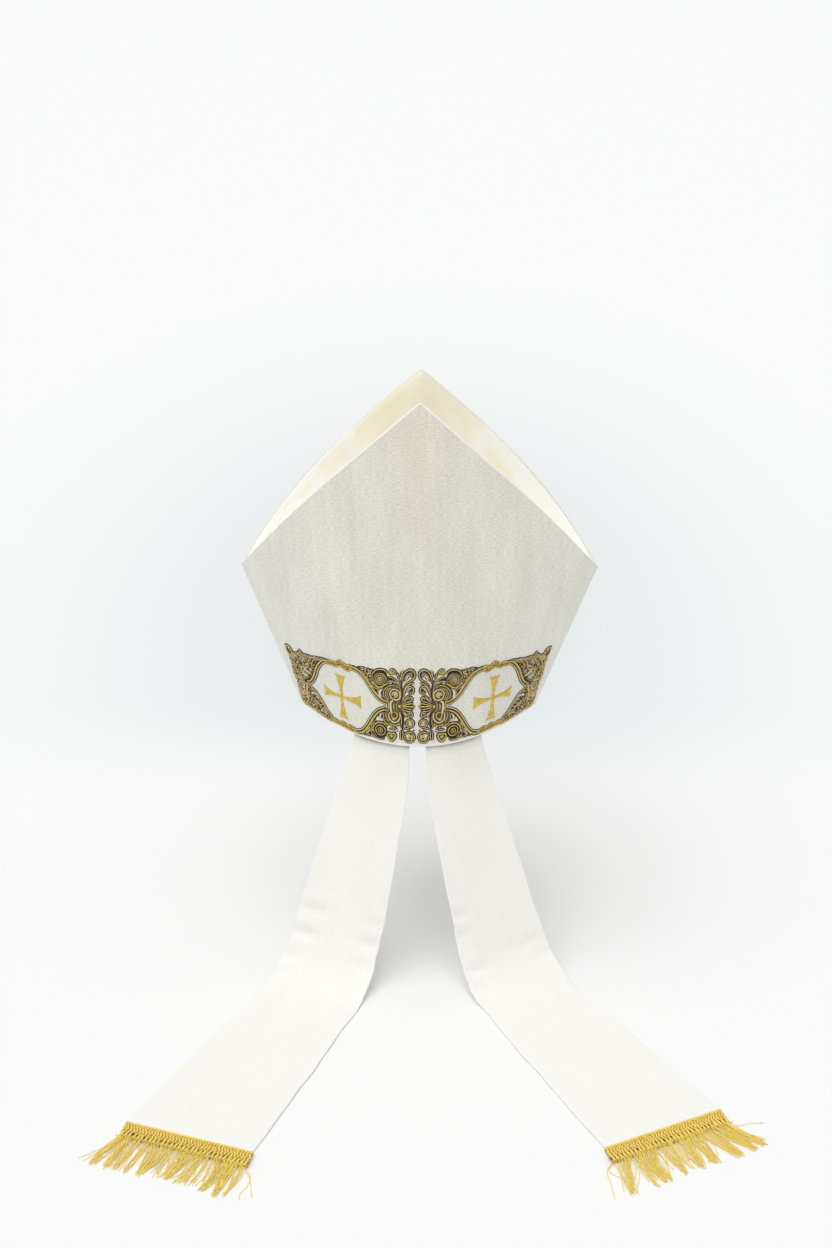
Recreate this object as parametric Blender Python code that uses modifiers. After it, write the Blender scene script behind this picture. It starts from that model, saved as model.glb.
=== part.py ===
"""A bishop's mitre in its worn form, with its two lappets laid out behind it.

Metres, +Z up. The origin is the centre of the head opening, in the plane of the
rim. The back of the mitre, where the lappets hang, faces -Y.

Both panels are walls that follow one bowed surface: every level section is a
parabola across the head, round at the rim and flatter towards the peak. The
ornament is laid out in the panel's own flat coordinates, the distance across
from the centre line and the height above the rim, and then wrapped onto it.
"""
import math

import bmesh
import bpy
from mathutils import Vector

# ---- driving dimensions --------------------------------------------------
RIM_HALF_WIDTH = 0.105          # centre to side seam at the rim
RIM_HALF_DEPTH = 0.088          # centre to the rim's back, and to its front
SHOULDER_HALF_WIDTH = 0.157     # centre to the shoulder, where the seam ends
SHOULDER_HEIGHT = 0.134
PEAK_HEIGHT = 0.300
PEAK_HALF_GAP = 0.046           # each peak's distance from the middle plane
EDGE_SLOPE = 0.883              # fall of the top edge near the peak
EDGE_CURL = 3.6                 # power with which it steepens to the shoulder
PEAK_ROUNDING = 0.001
BOW_LOSS_HEIGHT = 0.080         # how fast the bow flattens above the shoulders
TOP_BOW = 1.3                   # bow left near the peak, 1/m

WALL = 0.0020                   # a panel: outer cloth, stiffener and lining
GAP = 0.0003                    # between pieces that touch
SEAM_GAP = 0.00015              # half the gap between the panels at the seam
FACET_ROOM = 0.0005             # what a flat facet may stray from the bow
PANEL_COLUMNS = 24
PANEL_ROWS = 12
SEAM_OVERRUN = 1.03             # the wall runs past the seam and is trimmed

LINING_WALL = 0.0010
LINING_DROP = 0.0030            # the lining starts this far below the edge
LINING_HALF_WIDTH = 0.146
LINING_FLOOR = 0.142            # height of the valley's bottom at the middle
LINING_FLOOR_FALL = 0.004       # and how much lower it is at the shoulders
LINING_POWER = 1.6
LINING_COLUMNS = 22
LINING_ROWS = 16

BAND_RELIEF = 0.0008            # thickness of the embroidery
ORNAMENT_LIFT = 0.0006          # its backing stays this far off the bowed face
MEDALLION_CENTRE = 0.0725
BAND_SHIFT = -0.0009            # the band sits this far off the middle
BAND_SHRINK = 0.014             # its heights are less by this share at the middle
BAND_NARROWING = 0.011          # and by this much more from the medallion outwards
BAND_DROP = 0.0009              # its left half sits lower, too
MEDALLION_AXIS = 0.034
RING_SPOKES = 48
RING_STEPS = 4
CROSS_REACH = 0.0215
CROSS_NECK = 0.0012             # half width at the crossing
CROSS_FLARE = 0.0060            # half width at an arm's end
CROSS_STEPS = 4
CROSS_RELIEF = 0.0006

TABLE_HEIGHT = -0.195           # where the lappets lie
LAPPET_WALL = 0.0018
LAPPET_TONGUE = 0.025           # the end sewn inside the rim
LAPPET_RUN = 0.459              # over which it widens
LAPPET_TOP_WIDTH = 0.0566
LAPPET_FLARE = 0.0696           # width gained over the run, and how it eases
LAPPET_FLARE_EASE = 0.0154
LAPPET_LEAN = math.radians(27.1)
LAPPET_SETTLE = 0.050           # run over which it leaves the wall's slope and curve
BEND_START = 0.161              # runs at which it starts to turn onto the table
BEND_END = 0.258                # and lies flat
FALL_STEP = 0.001
LAPPET_COLUMNS = 6
LAPPET_ROWS = 36

BRAID_WIDTH = 0.0195
BRAID_WALL = 0.0016
BRAID_PROUD = 0.0008            # it laps past the lappet's edges
LOCKS = 12
LOCK_SHARE = 0.86               # of each pitch, the rest is the gap
LOCK_LENGTH = 0.0395
LOCK_STEPS = 5
LOCK_TIP = 0.80                 # width at the tip over width at the root

# One row for each lappet: side (-1 left, +1 right), where it leaves the rim,
# the way it faces from straight back, its lean within its own plane, the run
# from the rim to its braid, and how far the hem gains on that per metre outwards.
LAPPETS = {
    "left": {"side": -1, "start": 0.0324, "facing": 16.8, "slant": 6.0, "hem": 0.4640, "tilt": 0.035},
    "right": {"side": 1, "start": 0.0324, "facing": 23.0, "slant": 4.9, "hem": 0.4582, "tilt": -0.030},
}

# The ornament's outer outline on one half, from the centre line outwards:
# across is from the centre line and up is from the rim, in millimetres.
BAND_OUTLINE = [
    {"across": 1.6, "up": 36.0}, {"across": 3.2, "up": 42.0},
    {"across": 2.6, "up": 51.5}, {"across": 4.6, "up": 57.0},
    {"across": 1.6, "up": 64.5}, {"across": 5.0, "up": 69.0},
    {"across": 13.0, "up": 69.4}, {"across": 24.0, "up": 68.4},
    {"across": 40.0, "up": 66.6}, {"across": 53.5, "up": 67.4},
    {"across": 64.0, "up": 68.2}, {"across": 75.0, "up": 67.6},
    {"across": 91.0, "up": 65.4}, {"across": 110.0, "up": 63.4},
    {"across": 123.0, "up": 64.4}, {"across": 131.0, "up": 59.0},
    {"across": 137.0, "up": 64.4}, {"across": 139.6, "up": 60.5},
    {"across": 137.6, "up": 48.0}, {"across": 135.8, "up": 30.0},
    {"across": 135.0, "up": 12.0}, {"across": 130.0, "up": 3.2},
    {"across": 105.0, "up": 2.6}, {"across": 75.0, "up": 2.6},
    {"across": 53.5, "up": 3.0}, {"across": 24.0, "up": 3.6},
    {"across": 5.0, "up": 3.6}, {"across": 1.6, "up": 8.0},
    {"across": 4.6, "up": 14.6}, {"across": 2.6, "up": 21.0},
    {"across": 3.2, "up": 30.0},
]

# The medallion's field, upper half from its inner point to its outer point:
# up is from the medallion's own axis. The lower half mirrors it.
MEDALLION_OUTLINE = [
    {"across": 32.0, "up": 0.0}, {"across": 36.2, "up": 3.6},
    {"across": 40.0, "up": 8.0}, {"across": 45.8, "up": 16.2},
    {"across": 53.0, "up": 24.6}, {"across": 60.0, "up": 27.2},
    {"across": 75.0, "up": 26.2}, {"across": 89.0, "up": 26.0},
    {"across": 96.2, "up": 21.8}, {"across": 101.0, "up": 15.4},
    {"across": 106.4, "up": 6.4}, {"across": 113.0, "up": 0.0},
]

# Principled colours (linear), roughness and metallic share
MATERIALS = {
    "ivory_weave": {"colour": (0.72, 0.70, 0.63), "roughness": 0.75, "metallic": 0.0},
    "cream_satin": {"colour": (0.86, 0.80, 0.60), "roughness": 0.38, "metallic": 0.0},
    "lappet_cloth": {"colour": (0.88, 0.87, 0.82), "roughness": 0.60, "metallic": 0.0},
    "antique_thread": {"colour": (0.36, 0.26, 0.12), "roughness": 0.42, "metallic": 0.5},
    "gold_thread": {"colour": (0.62, 0.42, 0.08), "roughness": 0.34, "metallic": 0.6},
}


# ---- the bowed surface of a panel ----------------------------------------
def centre_depth(height):
    """Distance of the panel's centre line from the middle plane."""
    lean = (RIM_HALF_DEPTH - PEAK_HALF_GAP) / PEAK_HEIGHT
    return RIM_HALF_DEPTH - lean * height


def seam_half_width(height):
    flare = (SHOULDER_HALF_WIDTH - RIM_HALF_WIDTH) / SHOULDER_HEIGHT
    return RIM_HALF_WIDTH + flare * height


def bow(height):
    """How fast a level section falls back from its centre, 1/m."""
    if height <= SHOULDER_HEIGHT:
        return centre_depth(height) / seam_half_width(height) ** 2
    shoulder_bow = centre_depth(SHOULDER_HEIGHT) / SHOULDER_HALF_WIDTH ** 2
    fade = math.exp((SHOULDER_HEIGHT - height) / BOW_LOSS_HEIGHT)
    return TOP_BOW + (shoulder_bow - TOP_BOW) * fade


def surface(across, height, side):
    """A point of the panel's outer face; side is -1 for the back, +1 for the front."""
    level = max(height, 0.0)
    depth = centre_depth(level) - bow(level) * across ** 2
    return Vector((across, side * depth, height))


def offset_point(across, height, side, out):
    """The same point, moved out from the face along its normal."""
    step = 1e-4
    along = surface(across + step, height, side) - surface(across - step, height, side)
    up = surface(across, height + step, side) - surface(across, height - step, side)
    normal = along.cross(up).normalized() * -side
    return surface(across, height, side) + normal * out


def across_at(flat_across, height):
    """Turns a distance measured along the cloth into the x of its point."""
    twice_bow = 2 * bow(max(height, 0.0))
    target = abs(flat_across)
    x = target
    for _ in range(8):
        slope = twice_bow * x
        stretch = math.sqrt(1 + slope ** 2)
        length = (x * stretch + math.asinh(slope) / twice_bow) / 2
        x -= (length - target) / stretch
    return math.copysign(x, flat_across)


def wrap(flat_across, height, side, out):
    return offset_point(across_at(flat_across, height), height, side, out)


def edge_height(across):
    """Height of the panel's sloping top edge."""
    def straight(reach):
        return EDGE_SLOPE * (math.hypot(reach, PEAK_ROUNDING) - PEAK_ROUNDING)

    drop_left = PEAK_HEIGHT - SHOULDER_HEIGHT - straight(SHOULDER_HALF_WIDTH)
    curl = drop_left * (abs(across) / SHOULDER_HALF_WIDTH) ** EDGE_CURL
    return PEAK_HEIGHT - straight(across) - curl


# ---- making objects ------------------------------------------------------
def make_collection(name):
    collection = bpy.data.collections.new(name)
    bpy.context.scene.collection.children.link(collection)
    return collection


def make_materials():
    made = {}
    for name, look in MATERIALS.items():
        material = bpy.data.materials.new(name)
        material.use_nodes = True
        shader = material.node_tree.nodes["Principled BSDF"]
        shader.inputs["Base Color"].default_value = (*look["colour"], 1.0)
        shader.inputs["Roughness"].default_value = look["roughness"]
        shader.inputs["Metallic"].default_value = look["metallic"]
        made[name] = material
    return made


def add_object(name, bm, collection, material, out=None, wall=None):
    """Links a mesh as an object; with out and wall it also gets its thickness.

    out is a vector function's sample: the first face is turned to face it.
    """
    if out is not None:
        bm.faces.ensure_lookup_table()
        first = bm.faces[0]
        first.normal_update()
        if first.normal.dot(out) < 0:
            bmesh.ops.reverse_faces(bm, faces=bm.faces)
    mesh = bpy.data.meshes.new(name)
    bm.to_mesh(mesh)
    bm.free()
    obj = bpy.data.objects.new(name, mesh)
    mesh.materials.append(material)
    mesh.shade_smooth()
    collection.objects.link(obj)
    if wall is not None:
        thickness = obj.modifiers.new("wall", "SOLIDIFY")
        thickness.thickness = abs(wall)
        thickness.offset = -1.0 if wall > 0 else 1.0
        thickness.use_quality_normals = True
    return obj


def grid(columns, rows, place):
    """An open grid whose (column share, row share) points are moved by place."""
    bm = bmesh.new()
    bmesh.ops.create_grid(bm, x_segments=columns, y_segments=rows, size=0.5)
    for vert in bm.verts:
        vert.co = place(vert.co.x + 0.5, vert.co.y + 0.5)
    return bm


# ---- panels --------------------------------------------------------------
def seam_cutter(side, collection):
    """A block over the other half of the mitre, which trims a panel at the seam."""
    reach = 2 * PEAK_HEIGHT
    bpy.ops.mesh.primitive_cube_add(size=reach)
    cutter = bpy.context.active_object
    cutter.name = "seam_cutter_back" if side < 0 else "seam_cutter_front"
    cutter.location = (0, -side * (reach / 2 - SEAM_GAP), 0)
    cutter.hide_render = True
    cutter.display_type = "WIRE"
    for owner in list(cutter.users_collection):
        owner.objects.unlink(cutter)
    collection.objects.link(cutter)
    return cutter


def make_panel(name, side, parts, cutters, material):
    def place(column, row):
        share = (2 * column - 1) * SEAM_OVERRUN
        top = edge_height(share * SHOULDER_HALF_WIDTH)
        width = RIM_HALF_WIDTH + (SHOULDER_HALF_WIDTH - RIM_HALF_WIDTH) * row
        return surface(share * width, row * top, side)

    bm = grid(PANEL_COLUMNS, PANEL_ROWS, place)
    panel = add_object(name, bm, parts, material, Vector((0, side, 0)), WALL)
    trim = panel.modifiers.new("seam", "BOOLEAN")
    trim.object = seam_cutter(side, cutters)
    return panel


def make_lining(parts, material):
    """The valley of satin between the panels, from one sloping edge to the other."""
    inset = WALL + LINING_WALL + GAP + FACET_ROOM

    def place(column, row):
        across = (2 * column - 1) * LINING_HALF_WIDTH
        swing = 2 * row - 1
        top = offset_point(across, edge_height(across) - LINING_DROP, 1, -inset)
        share = abs(across) / LINING_HALF_WIDTH
        bottom = LINING_FLOOR - LINING_FLOOR_FALL * share ** 2
        height = bottom + (top.z - bottom) * abs(swing) ** LINING_POWER
        return Vector((top.x, top.y * swing, height))

    bm = grid(LINING_COLUMNS, LINING_ROWS, place)
    # the first face lies on the back panel's side, so the seen face looks forward
    return add_object("gusset_lining", bm, parts, material, Vector((0, 1, 0)), LINING_WALL)


# ---- ornament ------------------------------------------------------------
def ray_reach(outline, centre, angle):
    """How far a ray from the centre runs before it meets the closed outline."""
    ray = Vector((math.cos(angle), math.sin(angle)))
    for index, start in enumerate(outline):
        end = outline[(index + 1) % len(outline)]
        edge = end - start
        cross = ray.x * edge.y - ray.y * edge.x
        if abs(cross) < 1e-12:
            continue
        to_start = start - centre
        reach = (to_start.x * edge.y - to_start.y * edge.x) / cross
        share = (to_start.x * ray.y - to_start.y * ray.x) / cross
        if reach > 0 and 0 <= share <= 1:
            return reach
    raise ValueError("the outline does not go round its centre")


def flat_outline(rows, axis=0.0):
    return [Vector((row["across"], row["up"])) * 0.001 + Vector((0, axis)) for row in rows]


def place_on_band(flat, hand, side):
    """Where a point of one half's flat pattern lies on the panel."""
    share = min(flat.x / MEDALLION_CENTRE, 1.0)
    up = flat.y * (1 - BAND_SHRINK - BAND_NARROWING * share)
    if hand < 0:
        up -= BAND_DROP * share
    return wrap(hand * flat.x + BAND_SHIFT, up, side, ORNAMENT_LIFT)


def medallion_loop():
    upper = flat_outline(MEDALLION_OUTLINE, MEDALLION_AXIS)
    lower = [Vector((p.x, 2 * MEDALLION_AXIS - p.y)) for p in reversed(upper[1:-1])]
    return upper + lower


def make_band_half(name, side, hand, parts, material):
    """One half of the embroidered band, open in the middle of its medallion."""
    centre = Vector((MEDALLION_CENTRE, MEDALLION_AXIS))
    outer = flat_outline(BAND_OUTLINE)
    inner = medallion_loop()
    bm = bmesh.new()
    rings = []
    for step in range(RING_STEPS + 1):
        ring = []
        for spoke in range(RING_SPOKES):
            angle = 2 * math.pi * spoke / RING_SPOKES
            near = ray_reach(inner, centre, angle)
            far = ray_reach(outer, centre, angle)
            reach = near + (far - near) * step / RING_STEPS
            flat = centre + Vector((math.cos(angle), math.sin(angle))) * reach
            ring.append(bm.verts.new(place_on_band(flat, hand, side)))
        rings.append(ring)
    for inside, outside in zip(rings, rings[1:]):
        for spoke in range(RING_SPOKES):
            after = (spoke + 1) % RING_SPOKES
            bm.faces.new((inside[spoke], outside[spoke], outside[after], inside[after]))
    facing = Vector((0, side, 0))
    return add_object(name, bm, parts, material, facing, -BAND_RELIEF)


def make_cross(name, side, hand, parts, material):
    """A cross pattee: four arms that flare from a narrow crossing."""
    centre = Vector((MEDALLION_CENTRE, MEDALLION_AXIS))
    bm = bmesh.new()

    def corner(flat):
        return bm.verts.new(place_on_band(centre + flat, hand, side))

    crossing = [corner(Vector(c) * CROSS_NECK) for c in ((1, -1), (1, 1), (-1, 1), (-1, -1))]
    bm.faces.new(crossing)
    for arm in range(4):
        along = Vector((math.cos(arm * math.pi / 2), math.sin(arm * math.pi / 2)))
        sideways = Vector((-along.y, along.x))
        right = crossing[arm]
        left = crossing[(arm + 1) % 4]
        for step in range(1, CROSS_STEPS + 1):
            share = step / CROSS_STEPS
            reach = CROSS_NECK + (CROSS_REACH - CROSS_NECK) * share
            half = CROSS_NECK + (CROSS_FLARE - CROSS_NECK) * share ** 2
            next_right = corner(along * reach - sideways * half)
            next_left = corner(along * reach + sideways * half)
            bm.faces.new((left, right, next_right, next_left))
            right, left = next_right, next_left
    facing = Vector((0, side, 0))
    return add_object(name, bm, parts, material, facing, -CROSS_RELIEF)


# ---- lappets and their fringes -------------------------------------------
def smooth(share):
    share = min(max(share, 0.0), 1.0)
    return share ** 2 * (3 - 2 * share)


def fall_angle(run):
    """The lappet's angle from plumb: the wall's own slope, its lean, then level."""
    wall_slope = math.atan((RIM_HALF_DEPTH - PEAK_HALF_GAP) / PEAK_HEIGHT)
    leaning = smooth(run / LAPPET_SETTLE)
    bent = smooth((run - BEND_START) / (BEND_END - BEND_START))
    return wall_slope + (LAPPET_LEAN - wall_slope) * leaning + (math.pi / 2 - LAPPET_LEAN) * bent


def fall_table():
    """How far out and how high a lappet is after each step, to where it lies flat."""
    rows = [(0.0, 0.0)]
    for index in range(round(BEND_END / FALL_STEP)):
        angle = fall_angle((index + 0.5) * FALL_STEP)
        out, height = rows[-1]
        rows.append((out + FALL_STEP * math.sin(angle), height - FALL_STEP * math.cos(angle)))
    true = (TABLE_HEIGHT + LAPPET_WALL) / rows[-1][1]
    return [(out, height * true) for out, height in rows]


FALL = fall_table()


def fall(run):
    """Side view of a lappet: how far out and how high it is after a run of cloth."""
    place = run / FALL_STEP
    whole = int(place)
    if whole >= len(FALL) - 1:
        out, height = FALL[-1]
        return out + (place - len(FALL) + 1) * FALL_STEP, height
    (out, height), (next_out, next_height) = FALL[whole], FALL[whole + 1]
    part = place - whole
    return out + (next_out - out) * part, height + (next_height - height) * part


def lappet_width(run):
    share = min(max(run, 0.0) / LAPPET_RUN, 1.0)
    return LAPPET_TOP_WIDTH + LAPPET_FLARE * share - LAPPET_FLARE_EASE * share ** 2


def lappet_point(row, beside, run, lift=0.0):
    """A point of a lappet's upper face; beside is positive away from the middle."""
    side = row["side"]
    facing = math.radians(row["facing"])
    slant = math.radians(row["slant"])
    inset = -(WALL + GAP + FACET_ROOM)
    start = offset_point(side * row["start"], 0, -1, inset)
    sideways = Vector((side * math.cos(facing), math.sin(facing), 0))
    away = Vector((side * math.sin(facing), -math.cos(facing), 0))
    across = run * math.sin(slant) + beside * math.cos(slant)
    down = run * math.cos(slant) - beside * math.sin(slant)
    out, height = fall(max(down, 0.0))
    hanging = start + sideways * across + away * out
    hanging.z = height + lift
    settle = smooth(run / LAPPET_SETTLE)
    if settle == 1.0:
        return hanging
    # near the rim its section is still the curve of the wall that it is sewn to
    x = row["start"] + beside * math.cos(math.atan(2 * bow(0) * row["start"]))
    sewn = offset_point(side * x, max(-run, 0.0), -1, inset)
    if run <= 0:
        sewn.z = -run
        return sewn
    out, height = fall(run)
    sewn += sideways * run * math.sin(slant) + away * out
    sewn.z = height
    return sewn.lerp(hanging, settle)


def make_lappet(name, row, parts, material):
    length = LAPPET_TONGUE + row["hem"] + BRAID_WIDTH

    def place(column, share):
        run = share * length - LAPPET_TONGUE
        beside = (column - 0.5) * lappet_width(run)
        return lappet_point(row, beside, run + row["tilt"] * beside * share ** 4)

    bm = grid(LAPPET_COLUMNS, LAPPET_ROWS, place)
    return add_object(name, bm, parts, material, Vector((0, -1, 0)), LAPPET_WALL)


def lock_table():
    """A row for each lock: its place along the braid, sweep and length share."""
    rows = []
    for index in range(LOCKS):
        place = (index + 0.5) / LOCKS
        wander = math.sin(2.4 * index + 0.7)
        sweep = math.radians(14 * (2 * place - 1) + 5 * wander)
        length = LOCK_LENGTH * (0.95 + 0.06 * math.cos(1.7 * index))
        rows.append({"place": place, "sweep": sweep, "length": length})
    return rows


def make_fringe(name, row, parts, material):
    """The braid across a lappet's hem, with the fringe's locks grown out of it."""
    half = lappet_width(LAPPET_RUN) / 2 + BRAID_PROUD
    hem = row["hem"] + BRAID_WIDTH
    cells = 2 * LOCKS - 1
    pitch = 2 * half / (LOCKS - 1 + LOCK_SHARE)

    def cell_edge(index):
        whole, odd = divmod(index, 2)
        return -half + pitch * (whole + odd * LOCK_SHARE)

    bm = bmesh.new()
    bmesh.ops.create_grid(bm, x_segments=cells, y_segments=2, size=0.5)
    for vert in bm.verts:
        beside = cell_edge(round((vert.co.x + 0.5) * cells))
        run = row["hem"] + row["tilt"] * beside + (vert.co.y + 0.5) * BRAID_WIDTH
        vert.co = lappet_point(row, beside, run, GAP)
    top = lappet_point(row, 0, hem, GAP).z + BRAID_WALL
    bmesh.ops.recalc_face_normals(bm, faces=bm.faces)
    braid = bmesh.ops.extrude_face_region(bm, geom=bm.faces[:])
    for item in braid["geom"]:
        if isinstance(item, bmesh.types.BMVert):
            item.co.z = top
    bmesh.ops.recalc_face_normals(bm, faces=bm.faces)

    origin = lappet_point(row, 0, hem)
    forward = (lappet_point(row, 0, hem + 0.01) - origin).normalized()
    outward = (lappet_point(row, 0.01, hem) - origin).normalized()
    ends = [f for f in bm.faces if f.normal.dot(forward) > 0.9]
    ends.sort(key=lambda face: face.calc_center_median().dot(outward))
    for lock, face in zip(lock_table(), ends[::2]):
        grow_lock(bm, face, lock, forward, outward)
    return add_object(name, bm, parts, material)


def grow_lock(bm, face, lock, forward, outward):
    """Extrudes one lock from the braid's end, down onto the table and along it."""
    heading = forward * math.cos(lock["sweep"]) + outward * math.sin(lock["sweep"])
    rest = TABLE_HEIGHT + GAP
    step_length = lock["length"] / LOCK_STEPS
    for step in range(1, LOCK_STEPS + 1):
        share = step / LOCK_STEPS
        grown = bmesh.ops.extrude_discrete_faces(bm, faces=[face])
        face = grown["faces"][0]
        middle = face.calc_center_median()
        low = min(v.co.z for v in face.verts)
        turn = forward.lerp(heading, share).normalized()
        narrowing = 1 - (1 - LOCK_TIP) / LOCK_STEPS
        for vert in face.verts:
            beside = (vert.co - middle).dot(outward)
            vert.co += outward * beside * (narrowing - 1)
            vert.co += turn * step_length
            vert.co.z -= (low - rest) * min(1.0, 0.8 * step)


# ---- the whole mitre -----------------------------------------------------
def main():
    for obj in list(bpy.data.objects):
        bpy.data.objects.remove(obj, do_unlink=True)
    parts = make_collection("bishop_mitre")
    cutters = make_collection("cutters")
    looks = make_materials()

    make_panel("back_panel", -1, parts, cutters, looks["ivory_weave"])
    make_panel("front_panel", 1, parts, cutters, looks["ivory_weave"])
    make_lining(parts, looks["cream_satin"])
    for face, side in (("back", -1), ("front", 1)):
        for word, hand in (("left", -1), ("right", 1)):
            place = f"{face}_{word}"
            make_band_half(f"embroidery_{place}", side, hand, parts, looks["antique_thread"])
            make_cross(f"cross_{place}", side, hand, parts, looks["gold_thread"])
    for word, row in LAPPETS.items():
        make_lappet(f"lappet_{word}", row, parts, looks["lappet_cloth"])
        make_fringe(f"fringe_{word}", row, parts, looks["gold_thread"])


main()
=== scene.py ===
"""The looks of a bishop's mitre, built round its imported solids.

Metres, +Z up, the frame of the solids: the origin is the centre of the rim,
and the back, where the lappets hang, faces -Y. Ornament is drawn in the cloth's
own flat millimetres, across from the centre line and up from the rim, and then
wrapped onto the bowed panels.
"""
import math
import random

import bpy
import numpy as np
from mathutils import Matrix, Vector

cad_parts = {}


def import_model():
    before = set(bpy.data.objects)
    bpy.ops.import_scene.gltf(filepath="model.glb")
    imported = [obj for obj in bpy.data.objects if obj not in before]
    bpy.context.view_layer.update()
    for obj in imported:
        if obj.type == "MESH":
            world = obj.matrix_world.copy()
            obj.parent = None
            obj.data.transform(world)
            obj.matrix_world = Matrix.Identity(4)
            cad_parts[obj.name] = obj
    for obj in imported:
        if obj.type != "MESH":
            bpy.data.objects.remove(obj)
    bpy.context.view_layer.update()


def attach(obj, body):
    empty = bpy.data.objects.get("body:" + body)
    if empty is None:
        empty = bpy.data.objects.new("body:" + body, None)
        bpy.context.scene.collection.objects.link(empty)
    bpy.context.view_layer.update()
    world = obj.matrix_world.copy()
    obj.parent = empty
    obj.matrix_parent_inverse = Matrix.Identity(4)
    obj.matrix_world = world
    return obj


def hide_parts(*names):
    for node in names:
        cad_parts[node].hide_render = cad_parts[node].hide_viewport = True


MM = 0.001
SEED = 7

# ---- the bowed panels, as the solids have them ----
RIM_HALF_WIDTH = 0.105
RIM_HALF_DEPTH = 0.088
SHOULDER_HALF_WIDTH = 0.157
SHOULDER_HEIGHT = 0.134
PEAK_HEIGHT = 0.300
PEAK_HALF_GAP = 0.046
EDGE_SLOPE = 0.883
EDGE_CURL = 3.6
PEAK_ROUNDING = 0.001
BOW_LOSS_HEIGHT = 0.080
TOP_BOW = 1.3
WALL = 0.0020
SEAM_ROOM = 0.0002
PANEL_COLUMNS = 132
PANEL_ROWS = 84

LINING_WALL = 0.0005
LINING_INSET = WALL + 0.0006
LINING_DROP = 0.0003
LINING_HALF_WIDTH = 0.1540
FOLD_RADIUS = 0.00115
FOLD_THINNING = 0.45            # lost from its radius at the shoulders
FOLD_GAP = 0.0012               # from its ends to the side seams
FOLD_PROUD = 0.0002             # above the panel's cut edge
PEAK_REACH = 0.01               # where it has extra points, round the peak
LINING_FLOOR = 0.142
LINING_FLOOR_FALL = 0.004
LINING_POWER = 1.6
LINING_COLUMNS = 150
LINING_ROWS = 72
SATIN_LEAST_DEPTH = 0.0003      # of half the valley, at the shoulders
SATIN_LEAST_RISE = 0.0012       # from its floor to its edges, there too
SATIN_HALF_LENGTH = 0.16        # of the cloth from the floor to an edge, for its weave
SATIN_SLACK = 0.0006
SATIN_RIPPLE = 0.00035
BINDING_MIDDLE = 1.35           # the binding's numbers are in millimetres
BINDING_HALF = 1.3
BINDING_HEIGHT = 0.45
UNDERSTITCH_REACH = 0.105
UNDERSTITCH_DROP = 0.0038
UNDERSTITCH_RADIUS = 0.0005
UNDERSTITCH_SINK = 0.0003       # into the satin
TACK_DROP = 0.0011
TACK_PITCH = 0.0009
TACK_RADIUS = 0.00065
TACK_SAG = 0.0008
TACK_MARGIN = 0.0006            # from the last one to the side seam
TACK_LEAST_HALF = 0.0004        # half the shortest one's length

# ---- lappets and fringes ----
TABLE_HEIGHT = -0.195
LAPPET_INSET = 0.0028
LAPPET_WALL = 0.0018
LAPPET_TONGUE = 0.025
LAPPET_RUN = 0.459
LAPPET_TOP_WIDTH = 0.0566
LAPPET_FLARE = 0.0696
LAPPET_FLARE_EASE = 0.0154
LAPPET_LEAN = math.radians(27.1)
LAPPET_SETTLE = 0.050
BEND_START = 0.161
BEND_END = 0.258
FALL_STEP = 0.001
LAPPET_COLUMNS = 44
LAPPET_ROWS = 250
HEM_HOLD = 0.030                # the swell dies out this far before the hem
LAPPET_SWELL = 0.0009
LAPPET_RIPPLE = 0.0004
EDGE_WAVE = 0.0006
PUCKER_LENGTH = 0.0055

BRAID_WIDTH = 0.0195
BRAID_HALF = 0.0556
BRAID_SHIFT = 0.0014            # it sits a little nearer the middle than its lappet
BRAID_SHEAR = 0.20              # its ends lean inwards by this share of its width
BACKING_LIFT = 0.0011
# The braid's stitches, row by row: from and to past its upper edge, how far they
# lean, their pitch, their radius and their lift.
STITCH_ROWS = [
    (0.0016, 0.0052, 0.0015, 0.0024, 0.00074, 0.0010),
    (0.0046, 0.0086, -0.0015, 0.0026, 0.00080, 0.0010),
    (0.0080, 0.0126, 0.0016, 0.0028, 0.00084, 0.0010),
    (0.0118, 0.0186, 0.0016, 0.0035, 0.00100, 0.0009),
]
STRAND_RADIUS = 0.00025
STRAND_STEPS = 16
STRAND_DROOP = 0.007            # how soon a strand has dropped to the table
CLUMP_HEIGHT = 0.0014
CLUMP_FULLNESS = 1.15           # threads laid for each one counted in a clump
LOOSE_THREADS = 48              # between the clumps

# One row for each lappet: side, where it leaves the rim, the way it faces, its
# lean, its run to the braid and how far the hem gains on that per metre outwards.
LAPPETS = {
    "left": {"side": -1, "start": 0.0324, "facing": 16.8, "slant": 6.0,
             "hem": 0.4640, "tilt": 0.035},
    "right": {"side": 1, "start": 0.0324, "facing": 23.0, "slant": 4.9,
              "hem": 0.4582, "tilt": -0.030},
}

# Puckers across the lappets where the cloth turns onto the table: run from the
# rim, edge (-1 inner, +1 outer), their middle's distance from it, reach and depth.
PUCKERS = {
    "left": [
        (0.1560, 1, 0.012, 0.013, 0.0020), (0.1780, 1, 0.011, 0.013, 0.0024),
        (0.1985, 1, 0.008, 0.009, 0.0018), (0.2165, 1, 0.010, 0.009, 0.0013),
        (0.1555, -1, 0.005, 0.008, 0.0012), (0.1720, -1, 0.010, 0.011, 0.0022),
        (0.1930, -1, 0.011, 0.010, 0.0019)],
    "right": [
        (0.1460, -1, 0.008, 0.009, 0.0017), (0.1620, -1, 0.006, 0.008, 0.0013),
        (0.1950, -1, 0.013, 0.010, 0.0019), (0.2110, -1, 0.010, 0.008, 0.0013),
        (0.1860, 1, 0.016, 0.016, 0.0015), (0.1980, 1, 0.007, 0.009, 0.0013)],
}

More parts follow.
